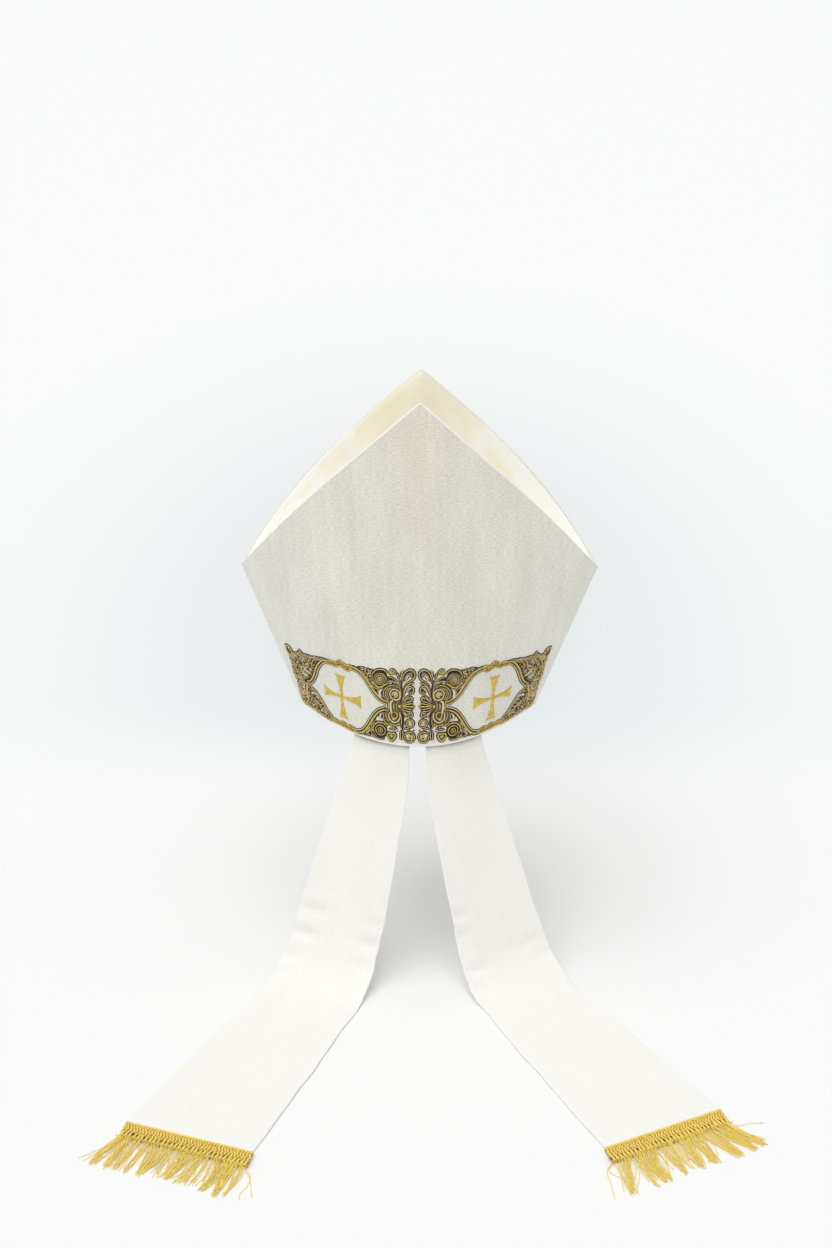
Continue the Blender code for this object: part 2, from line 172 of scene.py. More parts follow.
# The fringe's clumps, in millimetres: the stretch of braid a clump grows from,
# the stretch its tips reach, how far past the hem they end, how many threads it
# has and how far it swings outwards on the way.
CLUMPS = {
    "left": [
        (46, 54, 49, 58, 60.0, 13, 0.5), (39, 46, 38, 44, 60.0, 15, 0.0),
        (31, 38, 29, 37, 59.5, 7, 0.0), (24, 30, 23, 26, 61.5, 5, 0.5),
        (6, 27, 10.5, 16, 59.0, 21, -3.0), (-1, 8, -5, 4, 55.5, 6, 0.0),
        (-18, 1, -11, -7, 55.5, 18, -1.2), (-27, -16, -31, -15, 56.0, 13, 0.0),
        (-45, -31, -42.5, -38, 57.5, 17, -2.4), (-53, -41, -55.5, -50, 60.5, 17, 0.6),
        (-56, -51, -61, -59, 58.0, 4, 0.0),
    ],
    "right": [
        (-54, -38, -69, -64, 60.0, 10, 0.0), (-41, -30, -45.5, -42, 60.0, 8, -2.2),
        (-38, -18, -37, -33.5, 59.0, 14, -2.4), (-29, -20, -31, -29, 59.0, 7, 0.0),
        (-19, -3, -17.5, -14.5, 57.5, 9, 0.8), (-10, 0, -10, -4, 53.5, 4, 0.0),
        (0, 15, -2.5, 2.5, 57.0, 16, 1.0), (8, 24, 9.5, 17.5, 57.0, 16, 0.5),
        (19, 34, 31, 39.5, 58.5, 15, -0.6), (32, 44, 46.5, 54, 58.0, 15, -1.0),
        (41, 50, 57.5, 64, 55.5, 13, -1.4),
    ],
}
# Single threads that wander, as points along the braid and past the hem.
STRAYS = {
    "left": [
        [(45, 16), (54, 34), (66, 55)], [(48, 16), (55, 38), (61, 57)],
        [(-53, 18), (-61, 30), (-61, 46), (-58, 56)], [(-54, 18), (-66, 27), (-73, 38), (-81, 52)],
        [(-53, 18), (-66, 25), (-71, 40), (-70, 50), (-73, 57)], [(-30, 18), (-35, 36), (-34, 54)],
    ],
    "right": [
        [(-50, 18), (-62, 19), (-70, 26), (-75, 40), (-82, 57)],
        [(-49, 18), (-60, 19), (-68, 26), (-64, 40), (-66, 58)],
        [(-44, 18), (-59, 30), (-63, 44), (-65, 59)], [(-40, 18), (-45, 30), (-50, 42), (-64, 59)],
        [(50, 13), (54, 23), (61, 25), (68, 26), (76, 30)], [(-12, 18), (-20, 34), (-22, 48)],
    ],
}

# ---- the band's ornament, one half, in flat millimetres ----
BAND_SHIFT = -0.0009
BAND_SHRINK = 0.014
BAND_NARROWING = 0.011
BAND_DROP = 0.0009
BAND_SETTLE = 0.0725
BAND_FOOT = 0.0019              # the binding shows below this height
BAND_FOOT_SHARE = 0.15          # kept of what reaches lower
CROSS_CENTRE = (72.5, 34.4)
CROSS_NECK = 1.3
CROSS_LIFT = 0.1                # of its edges above the cloth
CROSS_HEIGHT = 0.95             # of its padding in the middle,
CROSS_RISE = 0.25               # and how much more it has at the ends
CROSS_CROWN = 2.6               # the higher, the flatter across an arm
CROSS_HOLLOW = 0.9              # how far an arm's end curves in
CROSS_UNDERSIDE = 0.05
# Its arms, anticlockwise from the outer one: reach and half the width at the end.
CROSS_ARMS = [(21.4, 6.0), (22.2, 5.9), (21.5, 6.3), (22.0, 5.9)]

# Couched threads: the kind, its width in the middle, the share of it left at each
# end (none for a closed one), the points it runs through and, if unlike its kind's,
# its height.
UPPER_STROKES = [
    # the large volute at the top corner
    ("antique", 1.05, (0.6, 0.5), [(12.8, 57.4), (12.2, 62.3), (11, 66), (8.8, 68.8), (6, 70.2),
        (3.5, 69.9), (1.7, 68.1), (1.2, 65.4), (2, 62.6), (4.4, 60.4), (7, 58.8), (9.4, 57),
        (11.2, 54.6)]),
    ("antique", 0.85, (0.5, 0.6), [(11, 59.4), (9.9, 63), (8, 65.9), (5.8, 67.2), (4, 66.3),
        (3.8, 64.6), (5.2, 63.6)]),
    ("silver", 1.3, (0.3, 0.3), [(5.6, 65.6), (7.9, 63.8), (9.4, 60.4)]),
    # knob and tendril
    ("antique", 1.2, (1, 0.5), [(12.2, 68.8), (12.9, 66.1), (13.6, 62.8)]),
    ("antique", 1.1, (0.6, 0.5), [(1.6, 57.9), (4, 58.1), (7, 56.6), (10, 53.4), (11.5, 49.4)]),
    # the small volute
    ("antique", 1.05, (0.5, 0.6), [(11.6, 44.8), (10.8, 48.8), (9.5, 52.2), (7.7, 54.5),
        (5.2, 55.3), (3.1, 54), (2.3, 51.4), (3.3, 49.1), (5.3, 48.5), (6.8, 49.8), (6.5, 51.6)]),
    ("antique", 0.95, (0.4, 0.5), [(5.6, 47.4), (7.8, 45.6), (11.2, 42)]),
    # the dark spine and the gold beside it
    ("dark", 1.7, (0.3, 0.6), [(11.6, 67), (12.4, 62), (13.6, 57), (12.8, 51.6), (12.7, 45.6),
        (14, 40.4)]),
    ("antique", 0.85, (0.4, 0.5), [(15.4, 62), (14.6, 58.4), (14.8, 54.4), (13.9, 50.2),
        (13.9, 45.4), (15.6, 41.4)]),
    # palmette rays above the middle one
    ("antique", 1, (0.6, 0.6), [(13.6, 38), (8.7, 40.6), (4.8, 41.7), (3.4, 43.5), (4.4, 45.1),
        (6.6, 44.6), (12.6, 40.2)]),
    ("antique", 1.05, (0.7, 0.5), [(2.3, 39.9), (7.7, 38.9), (12.9, 37.4)]),
    # the leaf that folds over the rosette
    ("antique", 0.95, (0.4, 0.6), [(15.4, 58.4), (18.8, 61.2), (22.6, 62.6), (25.4, 63.6),
        (26.2, 66.4), (28.6, 68.7), (32.6, 69), (36.8, 67.4), (39.4, 63.6), (39.4, 59), (37.2, 55),
        (33.6, 52.2)]),
    ("dark", 1.9, (0.3, 0.3), [(18.4, 59.3), (22.8, 60.8), (26.4, 62.4), (28.8, 65.4), (32, 66.8),
        (35.4, 65.8), (37.6, 63.2)]),
    ("antique", 0.75, (0.4, 0.4), [(27, 58), (26.6, 61), (28.6, 64.4), (32, 65.6)]),
    ("antique", 0.95, (0.4, 0.3), [(16.6, 56.4), (20.4, 58.9), (24.4, 59.2), (27.4, 57)]),
    ("gold", 1.5, (0.3, 0.4), [(24.2, 57.3), (27.6, 55.6), (30.8, 53.2), (34, 52.4), (37.6, 53.4)]),
    ("antique", 0.9, (0.5, 0.3), [(31.4, 51.2), (35.6, 50.8), (39.2, 52.6), (42, 56)]),
    # the C-scroll over the clasp
    ("antique", 0.95, (0.4, 0.6), [(15.8, 54.6), (19.2, 55.6), (23.6, 55), (27.2, 52.4),
        (29.2, 48.8), (29, 44.6), (26.6, 41.4)]),
    ("antique", 1.05, (0.5, 0.4), [(22.4, 53.2), (25.7, 51.4), (27.2, 47.6), (26.6, 44),
        (24.6, 42)]),
    ("antique", 0.75, (0.5, 0.5), [(19.4, 53.3), (23, 52.2), (25.2, 48.8), (25.2, 45), (23, 42)]),
    ("cream", 1, None, [(16.8, 51.2), (20.3, 51.9), (23.2, 49.4), (23.2, 45.6), (20.8, 42.8),
        (16.9, 42.5), (14.7, 45.4), (14.9, 49.2)]),
    ("silver", 2.2, (0.2, 0.2), [(30.8, 50.9), (32.6, 48.4), (32.8, 45.4), (30.6, 42)]),
    ("antique", 0.8, (0.4, 0.4), [(30.2, 52), (34, 49.6), (34.8, 45.8)]),
    # slips in the corner beyond the rosette
    ("antique", 0.9, (0.7, 0.3), [(39, 68.6), (40.6, 66), (41.6, 62)]),
    ("antique", 0.9, (0.7, 0.3), [(42.6, 68.2), (43, 65), (44.6, 61.6)]),
    ("antique", 0.9, (0.8, 0.3), [(46.4, 67.8), (45.8, 65.8), (47, 63.6)]),
    ("dark", 2.1, (0.6, 0.3), [(53.6, 68.3), (51.2, 68), (48.6, 66.4)]),
    # the flower at the top
    ("antique", 0.9, (0.5, 0.5), [(16.2, 61.4), (16.4, 64.6), (17.6, 67.6)]),
    ("gold", 1, (0.4, 0.4), [(18.9, 65), (19, 68), (21.4, 69.9), (24.2, 69.4)]),
    ("silver", 1.3, (0.4, 0.4), [(22.6, 64.2), (24.8, 64.6), (25.4, 66.4)]),
]

LOWER_STROKES = [
    # palmette rays below the middle one, and the gold leaf under them
    ("antique", 1.05, (0.7, 0.5), [(2.4, 33.8), (7.8, 34.9), (13.2, 36)]),
    ("antique", 1, (0.6, 0.6), [(13.8, 34.8), (8.9, 32.7), (5, 32.2), (3.3, 29.7), (4.3, 27.6),
        (6.7, 28.6), (12.6, 33)]),
    ("gold", 1.6, (0.3, 0.6), [(11.4, 31), (9.4, 29), (8.8, 26.4)]),
    # the dark stem and the gold beside it
    ("dark", 1.6, (0.4, 0.5), [(13.4, 33), (11.8, 27.6), (11.3, 21.4), (12.2, 16.4), (13.2, 11.4)]),
    ("antique", 0.85, (0.4, 0.4), [(14.6, 31.2), (13.2, 26.4), (13, 21.4), (14.2, 16.6)]),
    ("antique", 0.95, (0.4, 0.7), [(12, 15.4), (11.6, 10.8), (12.4, 6)]),
    ("antique", 0.95, (0.4, 0.7), [(13.6, 14.8), (13.9, 10.6), (13.7, 5.6)]),
    ("antique", 0.95, (0.5, 0.5), [(4.8, 15.6), (7.8, 16.8), (11, 16)]),
    # the lower scroll, a pale loop round a gold one
    ("cream", 1.15, (0.6, 0.6), [(14.9, 31), (14.4, 26.8), (16.2, 23), (19.6, 21.5), (23, 23.2),
        (24.6, 27), (23.8, 30.8)]),
    ("gold", 1.2, (0.7, 0.7), [(20, 31.2), (17.4, 30.2), (16.9, 27.2), (18.8, 25), (21.3, 26),
        (21.9, 28.8), (22.6, 31.4)]),
    ("antique", 0.8, (0.5, 0.5), [(13.6, 21.8), (16.8, 19.6), (20.6, 19.2), (24.2, 20.6)]),
    ("antique", 1, (0.5, 0.5), [(26.4, 30.6), (27.2, 27.2), (25.4, 23.6), (24.8, 21)]),
    ("antique", 0.95, (0.5, 0.4), [(28.6, 30), (29.6, 26.4), (28.9, 22.4), (26.6, 19.2),
        (22.4, 17.8)]),
    ("silver", 1.7, (0.3, 0.3), [(31.2, 28.4), (32.6, 25.8), (32.6, 22.6)]),
    ("silver", 1.2, (0.3, 0.3), [(15.8, 15.4), (17.8, 14.2), (19.2, 12.6)]),
    ("antique", 0.9, (0.4, 0.4), [(17.2, 16.6), (21, 15), (25, 14.6)]),
    # round the lower rosette
    ("gold", 1.3, (0.4, 0.4), [(26, 16.4), (30, 19.4), (34.8, 19), (38.6, 15.8), (39.6, 11.2),
        (37.6, 7.4)]),
    ("antique", 0.9, (0.4, 0.4), [(36.4, 20.8), (40, 17.4), (42.2, 13.2)]),
    ("dark", 1.9, (0.4, 0.4), [(27.6, 8), (29.8, 6), (33, 5.4), (36.2, 6.6)]),
    ("antique", 0.95, (0.5, 0.5), [(28.4, 5), (32.4, 3.9), (37.2, 4.4), (41.2, 7.6)]),
    ("dark", 2, (0.6, 0.3), [(51.4, 4.2), (48.6, 4.6), (46.2, 6.4)]),
    # the heart
    ("gold", 1.3, None, [(18.5, 9.7), (20, 11.3), (22.2, 10.4), (24.4, 11), (25.9, 9.2),
        (24.7, 6.4), (22.3, 4.2), (19.6, 6.6)]),
]

CENTRE_STROKES = [
    ("gold", 1.15, (0.8, 0.5), [(0.9, 36.6), (6.6, 37), (13, 36.9)]),
    ("cream", 1.9, (0.7, 0.7), [(20.6, 41.4), (22.6, 39.8), (22.8, 36.6), (22.5, 33.2),
        (21.6, 29.8)], 1.7),
    ("gold", 1.2, (0.6, 0.6), [(26.2, 42.6), (24.9, 39.8), (24.5, 36.6), (24.6, 33.6),
        (25.8, 31)], 1.3),
    ("antique", 0.85, (0.6, 0.6), [(16, 41.2), (17.4, 39), (17.6, 36.5), (17.4, 34), (16.2, 31.8)]),
    ("silver", 0.8, (0.5, 0.5), [(19.9, 39), (20.2, 36.4), (19.9, 33.6)]),
]

# Threads couched in a ring: the kind, its centre, its radius and its width.
INNER_RINGS = [
    ("cream", 32.9, 60.1, 1.8, 0.9),
    ("gold", 32.9, 60.1, 3.5, 1),
    ("antique", 32.9, 60.1, 5.1, 0.75),
    ("antique", 5.3, 21.4, 3.4, 1),
    ("antique", 5.7, 8.9, 4.6, 1),
    ("gold", 32.4, 12.4, 2.1, 0.9),
    ("antique", 32.4, 12.4, 4.6, 1.1),
]
# Knots: the kind, the centre, the radius and, if unlike its kind's, the height.
INNER_KNOTS = [
    ("silver", 32.9, 60.1, 0.8),
    ("cream", 32.4, 12.4, 0.9),
    ("antique", 12.2, 69.2, 1.2),
    ("dark", 4.8, 51.6, 1.2),
    ("antique", 19.2, 47, 3.4, 0.4),
    ("dark", 20.6, 45.4, 1.2, 0.6),
    ("gold", 18.6, 47.4, 1.7, 0.8),
    ("silver", 20.2, 24.6, 1.9, 0.2),
    ("dark", 20.9, 57.9, 1.2),
    ("gold", 18.7, 58.3, 0.9),
    ("gold", 23.2, 58.3, 1),
    ("gold", 14.9, 36.6, 1.5),
    ("gold", 22.4, 66.8, 1.3),
    ("gold", 20.6, 67.4, 1),
    ("gold", 24.4, 67.8, 1),
    ("gold", 21.2, 65.2, 1),
    ("cream", 5.3, 21.4, 2.5, 0.55),
    ("dark", 4.3, 21.7, 0.75),
    ("dark", 6.6, 21.5, 0.75),
    ("antique", 5.6, 9, 3.7, 0.5),
    ("dark", 4.6, 11.3, 0.85),
    ("dark", 5.1, 7.9, 0.95),
    ("silver", 7.9, 10.3, 1.1),
    ("dark", 1.9, 15, 0.8),
    ("gold", 15.4, 20.2, 0.9),
    ("gold", 17.4, 18.2, 0.9),
    ("gold", 19.8, 17.4, 0.9),
    ("gold", 22.3, 18.6, 0.8),
    ("gold", 22.3, 8.4, 1.4),
    ("dark", 42.2, 10.2, 0.9),
    ("dark", 40.6, 14.6, 0.8),
]

# The medallion's frame: centre lines of its padded gold cord, each drawn so
# that the field lies on its right-hand side.
FRAME_STRETCHES = [
    [(26, 39.8), (30.2, 41.2), (34.8, 44.6), (38.6, 49), (42, 54), (45.6, 59), (50, 63.4),
     (56, 66.4), (62, 67)],
    [(84, 66.2), (88.4, 66.2), (93.2, 63.2), (98.8, 56.2), (103.4, 47.2), (108.4, 39.8),
     (114.4, 34.8)],
    [(62, 4.2), (56, 4), (49.6, 7.2), (44.2, 14), (39.8, 21.4), (35.8, 27.2), (31.6, 30.8),
     (26.4, 32.6)],
]
# Threads laid side by side across the frame: the kind, its offset from the cord's
# centre, positive towards the field, its width and its height.
FRAME_THREADS = [
    ("dark", -1.6, 0.9, 0.6),
    ("gold", -0.15, 2.1, 1.5),
    ("dark", 1.35, 0.9, 0.6),
    ("cream", 2.35, 1.05, 0.9),
    ("dark", 3.25, 0.7, 0.5),
]
# The lower outer stretch is a narrow twisted cord instead.
ROPE_STRETCH = [(113.6, 33.4), (110.6, 30.6), (105.3, 28.2), (99.8, 22), (93.4, 13.8), (87, 9.2)]
ROPE_THREADS = [
    ("dark", 0, 2, 0.7),
    ("antique", 0.3, 0.9, 1.1),
    ("antique", -1.2, 0.9, 0.9),
]

# Bright granulated crests over and under the medallion.
CREST_TOP = [
    (59, 66.9), (61.6, 68.4), (64.6, 67.6), (67.6, 68.4), (71.4, 70.6), (74.8, 68.6), (77.6, 67.2),
    (81.4, 68), (85.2, 67.2), (87.4, 65.6), (85, 63.4), (81.2, 64), (77.6, 63.2), (74.4, 64.4),
    (71.2, 65.4), (67.4, 63.4), (63.6, 62.2), (60.8, 64.2),
]
CREST_LOW = [
    (57.6, 5.2), (61, 6.8), (65, 8), (69, 7.2), (73.2, 8.8), (78, 7.2), (83.6, 8.2), (87.4, 6.6),
    (86.4, 4), (80.6, 4.4), (74.4, 4), (68.4, 3.4), (62, 2.8),
]
# Dense granulated scrollwork at the outer end, and small curls in the corners.
OUTER_UPPER = [
    (88.8, 67.4), (92.4, 66.6), (100.6, 65.2), (109.6, 64.4), (115.6, 64.2), (119.4, 66),
    (123, 62.8), (127.6, 59.4), (130.4, 63.4), (134.4, 66), (138.6, 64.8), (139.4, 61.4),
    (137, 56.8), (135.4, 50), (136, 35.4), (123, 34.6), (116.4, 36.4), (111, 41.2), (106, 48.8),
    (101.4, 57.6), (95, 65.2),
]
OUTER_LOWER = [
    (123, 34.6), (136, 35.4), (134.6, 23.2), (136.8, 9), (133.6, 3.6), (119.6, 4.6), (103, 4.2),
    (88.4, 3.4), (89.6, 8.6), (95, 12.8), (101, 20.4), (106.6, 26), (112.6, 28.6), (116.2, 32.8),
]
CORNERS = [
    [(40.6, 67.4), (53, 67.6), (49.6, 65.4), (46, 62.2), (43.4, 58.6), (41.2, 57.8), (41.4, 62)],
    [(39.6, 5.2), (52, 4.4), (48, 7), (44.4, 11.6), (41.6, 16.4), (40, 17.6), (41, 11)],
]

OUTER_STROKES = [
    ("gold", 2.4, (0.3, 0.3), [(115, 34.2), (118.6, 27.4), (121, 20), (121.4, 13)], 1.5),
    ("antique", 1.2, (0.3, 0.4), [(119.4, 33.4), (122.6, 27), (124.4, 20.4), (123.8, 14.2)]),
    ("silver", 2.6, (0.2, 0.2), [(108.6, 45), (113.8, 46.8), (118.8, 50.4)]),
    ("silver", 2, (0.2, 0.2), [(114.4, 39.6), (119.6, 42), (123.4, 45.4)]),
    ("silver", 2.2, (0.2, 0.2), [(106.4, 24.6), (110.4, 24.8), (114.4, 23.4)]),
    ("antique", 1.3, None, [(130.2, 58.8), (130.6, 63), (133.6, 65.4), (137.6, 64.8), (138.8, 61.6),
        (136.6, 57.6), (133.2, 56)]),
    ("antique", 1.3, (0.5, 0.3), [(105.6, 62.6), (109.2, 58.6), (110.2, 53.6), (113.2, 49.8)]),
    ("antique", 1.2, (0.4, 0.3), [(98.2, 63.6), (102.8, 60.8), (105.2, 56.2), (106, 51.2)]),
    ("dark", 1.4, (0.3, 0.3), [(112.6, 61.6), (117.4, 57.4), (121.6, 52), (124.4, 47)]),
    ("antique", 1.2, (0.3, 0.3), [(127, 58), (129.8, 52.4), (130.6, 46), (128.8, 40),
        (130.4, 34.4)]),
    ("antique", 1.2, (0.3, 0.3), [(130.4, 33), (129, 27), (130.6, 20.6), (130.2, 14),
        (126.4, 9.4)]),
    ("antique", 1.2, (0.3, 0.3), [(92.6, 8.4), (99.6, 11.4), (105.6, 15.8), (112.4, 18),
        (117.6, 15.6)]),
    ("dark", 1.3, (0.3, 0.3), [(97, 6.4), (105, 8.4), (113, 9.8), (121, 8.2)]),
]
# Small rings that follow the outer end's edge, one after the other.
RING_CHAINS = [
    [(132, 57.6), (133.8, 50.8), (134.6, 43), (134.4, 34.6), (133.2, 26), (133.6, 17), (134.8, 9),
     (131.6, 4.6), (124.6, 5.4), (116, 5.6), (106, 4.9), (96, 4.3), (89, 4.6)],
    [(90.6, 66.2), (97, 64.9), (103.6, 63.9), (110, 63.3), (115.2, 62.8)],
    [(118.6, 65.2), (119.6, 61.6), (122.6, 62.2), (125.4, 59.4), (128.4, 57)],
]
CHAIN_GAP = 2.9

# Where the ground is filled in between the threads: bronze under the C-scroll,
# the clasp and the lower scroll, and dark under the rosettes.
BRONZE_PATCHES = [
    [(14.4, 53.6), (20, 55.2), (26.4, 52.6), (29, 47.6), (27.6, 41.6), (25.2, 38.2), (25.2, 34.8),
     (27.6, 31), (28.8, 25.6), (25.6, 19.4), (19.6, 17.6), (14.4, 20.6), (13.2, 26.8), (14.2, 33.4),
     (13.6, 39.8), (13.2, 46.6)],
]
DARK_PATCHES = [
    # the upper rosette and its leaf
    [(26.8, 63.4), (30.2, 67.4), (35.2, 67.2), (38.4, 63.2), (38.4, 57.6), (35.2, 54), (30.6, 54),
     (27.4, 57.4)],
    # the lower rosette
    [(27, 15), (30, 18.4), (34.8, 18.2), (38.2, 15), (38.4, 9.6), (35.4, 6.4), (30.4, 6.2),
     (27.2, 9.4)],
]

SPACING = 0.65                  # of the points along a couched thread
STROKE_GIRTH = 1.12             # every stroke's width is this much fuller
THREAD_LIFT = 0.12              # of a thread's edges above the cloth
KNOT_LIFT = 0.1
SHADOW_REACH = 0.92                 # how far the painted shadow shows past each thread
SHADOW_HEIGHT = 0.34
GROUND_AND_SHADOW_LIFT = 0.02
PATCH_CELL = 1.5
CENTRE_GAP = 0.7                # moved outwards at the very middle
CENTRE_REACH = 16               # and less and less up to here
WHOLE = (1.0, 1.0)              # a thread that keeps its width to both ends
ARCH = (0, 40, 90, 140, 180)    # degrees round a raised thread
LOW_ARCH = (0, 55, 125, 180)    # and round the flat painted shadow under it
# A knot's rings: their share of its radius and of its height.
KNOT_LEVELS = ((1.0, 0.0), (0.86, 0.55), (0.5, 0.88))

THREADS = ("ground", "bronze", "dark", "antique", "gold", "cream", "silver")
THREAD_HEIGHT = {"gold": 1.25, "antique": 1.0, "cream": 0.9, "silver": 0.7, "dark": 0.8}


# ---- the cloth's surface ----
def centre_depth(height):
    return RIM_HALF_DEPTH - (RIM_HALF_DEPTH - PEAK_HALF_GAP) / PEAK_HEIGHT * height


def seam_half_width(height):
    return RIM_HALF_WIDTH + (SHOULDER_HALF_WIDTH - RIM_HALF_WIDTH) / SHOULDER_HEIGHT * height


def bow(height):
    below = centre_depth(height) / seam_half_width(height) ** 2
    shoulder_bow = centre_depth(SHOULDER_HEIGHT) / SHOULDER_HALF_WIDTH ** 2
    fade = np.exp((SHOULDER_HEIGHT - height) / BOW_LOSS_HEIGHT)
    above = TOP_BOW + (shoulder_bow - TOP_BOW) * fade
    return np.where(height <= SHOULDER_HEIGHT, below, above)


def surface(across, height, side):
    level = np.maximum(height, 0.0)
    depth = centre_depth(level) - bow(level) * across ** 2
    return np.stack([across, side * depth, height], axis=-1)


def unit(vectors):
    return vectors / np.linalg.norm(vectors, axis=-1, keepdims=True)


def outward(across, height, side):
    step = 1e-4
    along = surface(across + step, height, side) - surface(across - step, height, side)
    rising = surface(across, height + step, side) - surface(across, height - step, side)
    return unit(np.cross(along, rising)) * -side


def offset_surface(across, height, side, out):
    out = np.full_like(across, out)
    return surface(across, height, side) + outward(across, height, side) * out[..., None]


def arc_length(across, height):
    """The distance from the centre line, measured along the cloth."""
    slope = 2 * bow(np.maximum(height, 0.0)) * across
    curved = np.arcsinh(slope) * across / np.where(slope == 0, 1, slope)
    return (across * np.sqrt(1 + slope ** 2) + curved) / 2


def across_at(flat, height):
    twice_bow = 2 * bow(np.maximum(height, 0.0))
    target = np.abs(flat)
    x = target.copy()
    for _ in range(8):
        slope = twice_bow * x
        stretch = np.sqrt(1 + slope ** 2)
        x -= ((x * stretch + np.arcsinh(slope) / twice_bow) / 2 - target) / stretch
    return np.copysign(x, flat)


def edge_height(across):
    def straight(reach):
        return EDGE_SLOPE * (np.hypot(reach, PEAK_ROUNDING) - PEAK_ROUNDING)

    drop_left = PEAK_HEIGHT - SHOULDER_HEIGHT - straight(SHOULDER_HALF_WIDTH)
    curl = drop_left * (np.abs(across) / SHOULDER_HALF_WIDTH) ** EDGE_CURL
    return PEAK_HEIGHT - straight(across) - curl


# ---- meshes ----
def pairs(first, second):
    """Two arrays as rows of pairs."""
    return np.stack(np.broadcast_arrays(first, second), axis=-1).reshape(-1, 2)


def with_height(flat, height):
    """Rows of points from flat places and their heights."""
    return np.concatenate([flat, height[..., None]], axis=-1).reshape(-1, 3)


def distances(path):
    """How far along a path each of its points lies."""
    return np.concatenate([[0], np.cumsum(np.linalg.norm(np.diff(path, axis=0), axis=1))])


def setup(thing, **settings):
    """Sets several of a thing's attributes."""
    for key, value in settings.items():
        setattr(thing, key, value)
    return thing


def new_object(name, data):
    obj = bpy.data.objects.new(name, data)
    bpy.context.scene.collection.objects.link(obj)
    return obj


def mesh_object(name, points, faces, materials, uv=None):
    mesh = bpy.data.meshes.new(name)
    mesh.from_pydata(np.asarray(points, float).tolist(), [], faces)
    for material in materials:
        mesh.materials.append(material)
    if uv is not None:
        corner = np.zeros(len(mesh.loops), np.int32)
        mesh.loops.foreach_get("vertex_index", corner)
        layer = mesh.uv_layers.new(name="UVMap")
        layer.data.foreach_set("uv", np.asarray(uv, np.float32)[corner].ravel())
    mesh.validate()
    mesh.shade_smooth()
    return new_object(name, mesh)


def grid_faces(columns, rows, start=0, flip=False):
    """Quads of a grid whose points run along its columns first."""
    faces = []
    for row in range(rows):
        first = start + row * (columns + 1)
        for a in range(first, first + columns):
            b = a + columns + 1
            faces.append((b, b + 1, a + 1, a) if flip else (a, a + 1, b + 1, b))
    return faces


def ring_faces(count, ring, closed=False, flip=False):
    """Quads between neighbouring rings of points, one ring after the other."""
    faces = []
    for i in range(count if closed else count - 1):
        a, b = i * ring, (i + 1) % count * ring
        for j in range(ring):
            k = (j + 1) % ring
            faces.append((a + j, a + k, b + k, b + j) if flip else (a + j, b + j, b + k, a + k))
    return faces


def add_wall(obj, wall, inner_material=0, edge_material=0, round_edge=None):
    """Solidifies a sheet inwards, with its border rounded over."""
    setup(obj.modifiers.new("wall", "SOLIDIFY"), thickness=wall, offset=-1.0,
          use_quality_normals=True, material_offset=inner_material,
          material_offset_rim=edge_material)
    if round_edge:
        setup(obj.modifiers.new("rounded", "BEVEL"), width=round_edge, segments=3,
              limit_method="ANGLE", angle_limit=math.radians(55))
    return obj


def dress(piece, slot, *nodes):
    """Hangs a piece from the root body and hides the solids it stands in for; slot is not used."""
    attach(piece, "root")
    if nodes:
        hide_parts(*nodes)
    return piece


# ---- threads ----
def spline(points, spacing=SPACING, closed=False):
    """A smooth curve through the points, resampled at an even spacing."""
    points = np.asarray(points, float)
    if closed:
        ring = np.vstack([points[-1:], points, points[:2]])
    else:
        ring = np.vstack([2 * points[0] - points[1], points, 2 * points[-1] - points[-2]])
    t = np.linspace(0, 1, 12, endpoint=False)[:, None]
    pieces = [0.5 * (2 * b + (c - a) * t + (2 * a - 5 * b + 4 * c - d) * t ** 2
                     + (3 * b - a - 3 * c + d) * t ** 3)
              for a, b, c, d in zip(ring, ring[1:], ring[2:], ring[3:])]
    fine = np.vstack(pieces + [points[:1] if closed else points[-1:]])
    length = distances(fine)
    at = np.linspace(0, length[-1], max(4, int(round(length[-1] / spacing))) + 1)
    even = pairs(np.interp(at, length, fine[:, 0]), np.interp(at, length, fine[:, 1]))
    return even[:-1] if closed else even


def sideways(path, closed=False):
    """Unit vectors across a flat path, to its left."""
    if closed:
        step = np.roll(path, -1, axis=0) - np.roll(path, 1, axis=0)
    else:
        step = np.gradient(path, axis=0)
    step = unit(step)
    return np.stack([-step[:, 1], step[:, 0]], axis=-1)


def taper(count, ends):
    """Width along a thread: full in the middle, eased to a share at each end."""
    t = np.linspace(0, 1, count)
    first, last = [end + (1 - end) * np.sin(np.clip(at / 0.38, 0, 1) * math.pi / 2)
                   for end, at in zip(ends, (t, 1 - t))]
    return first * last


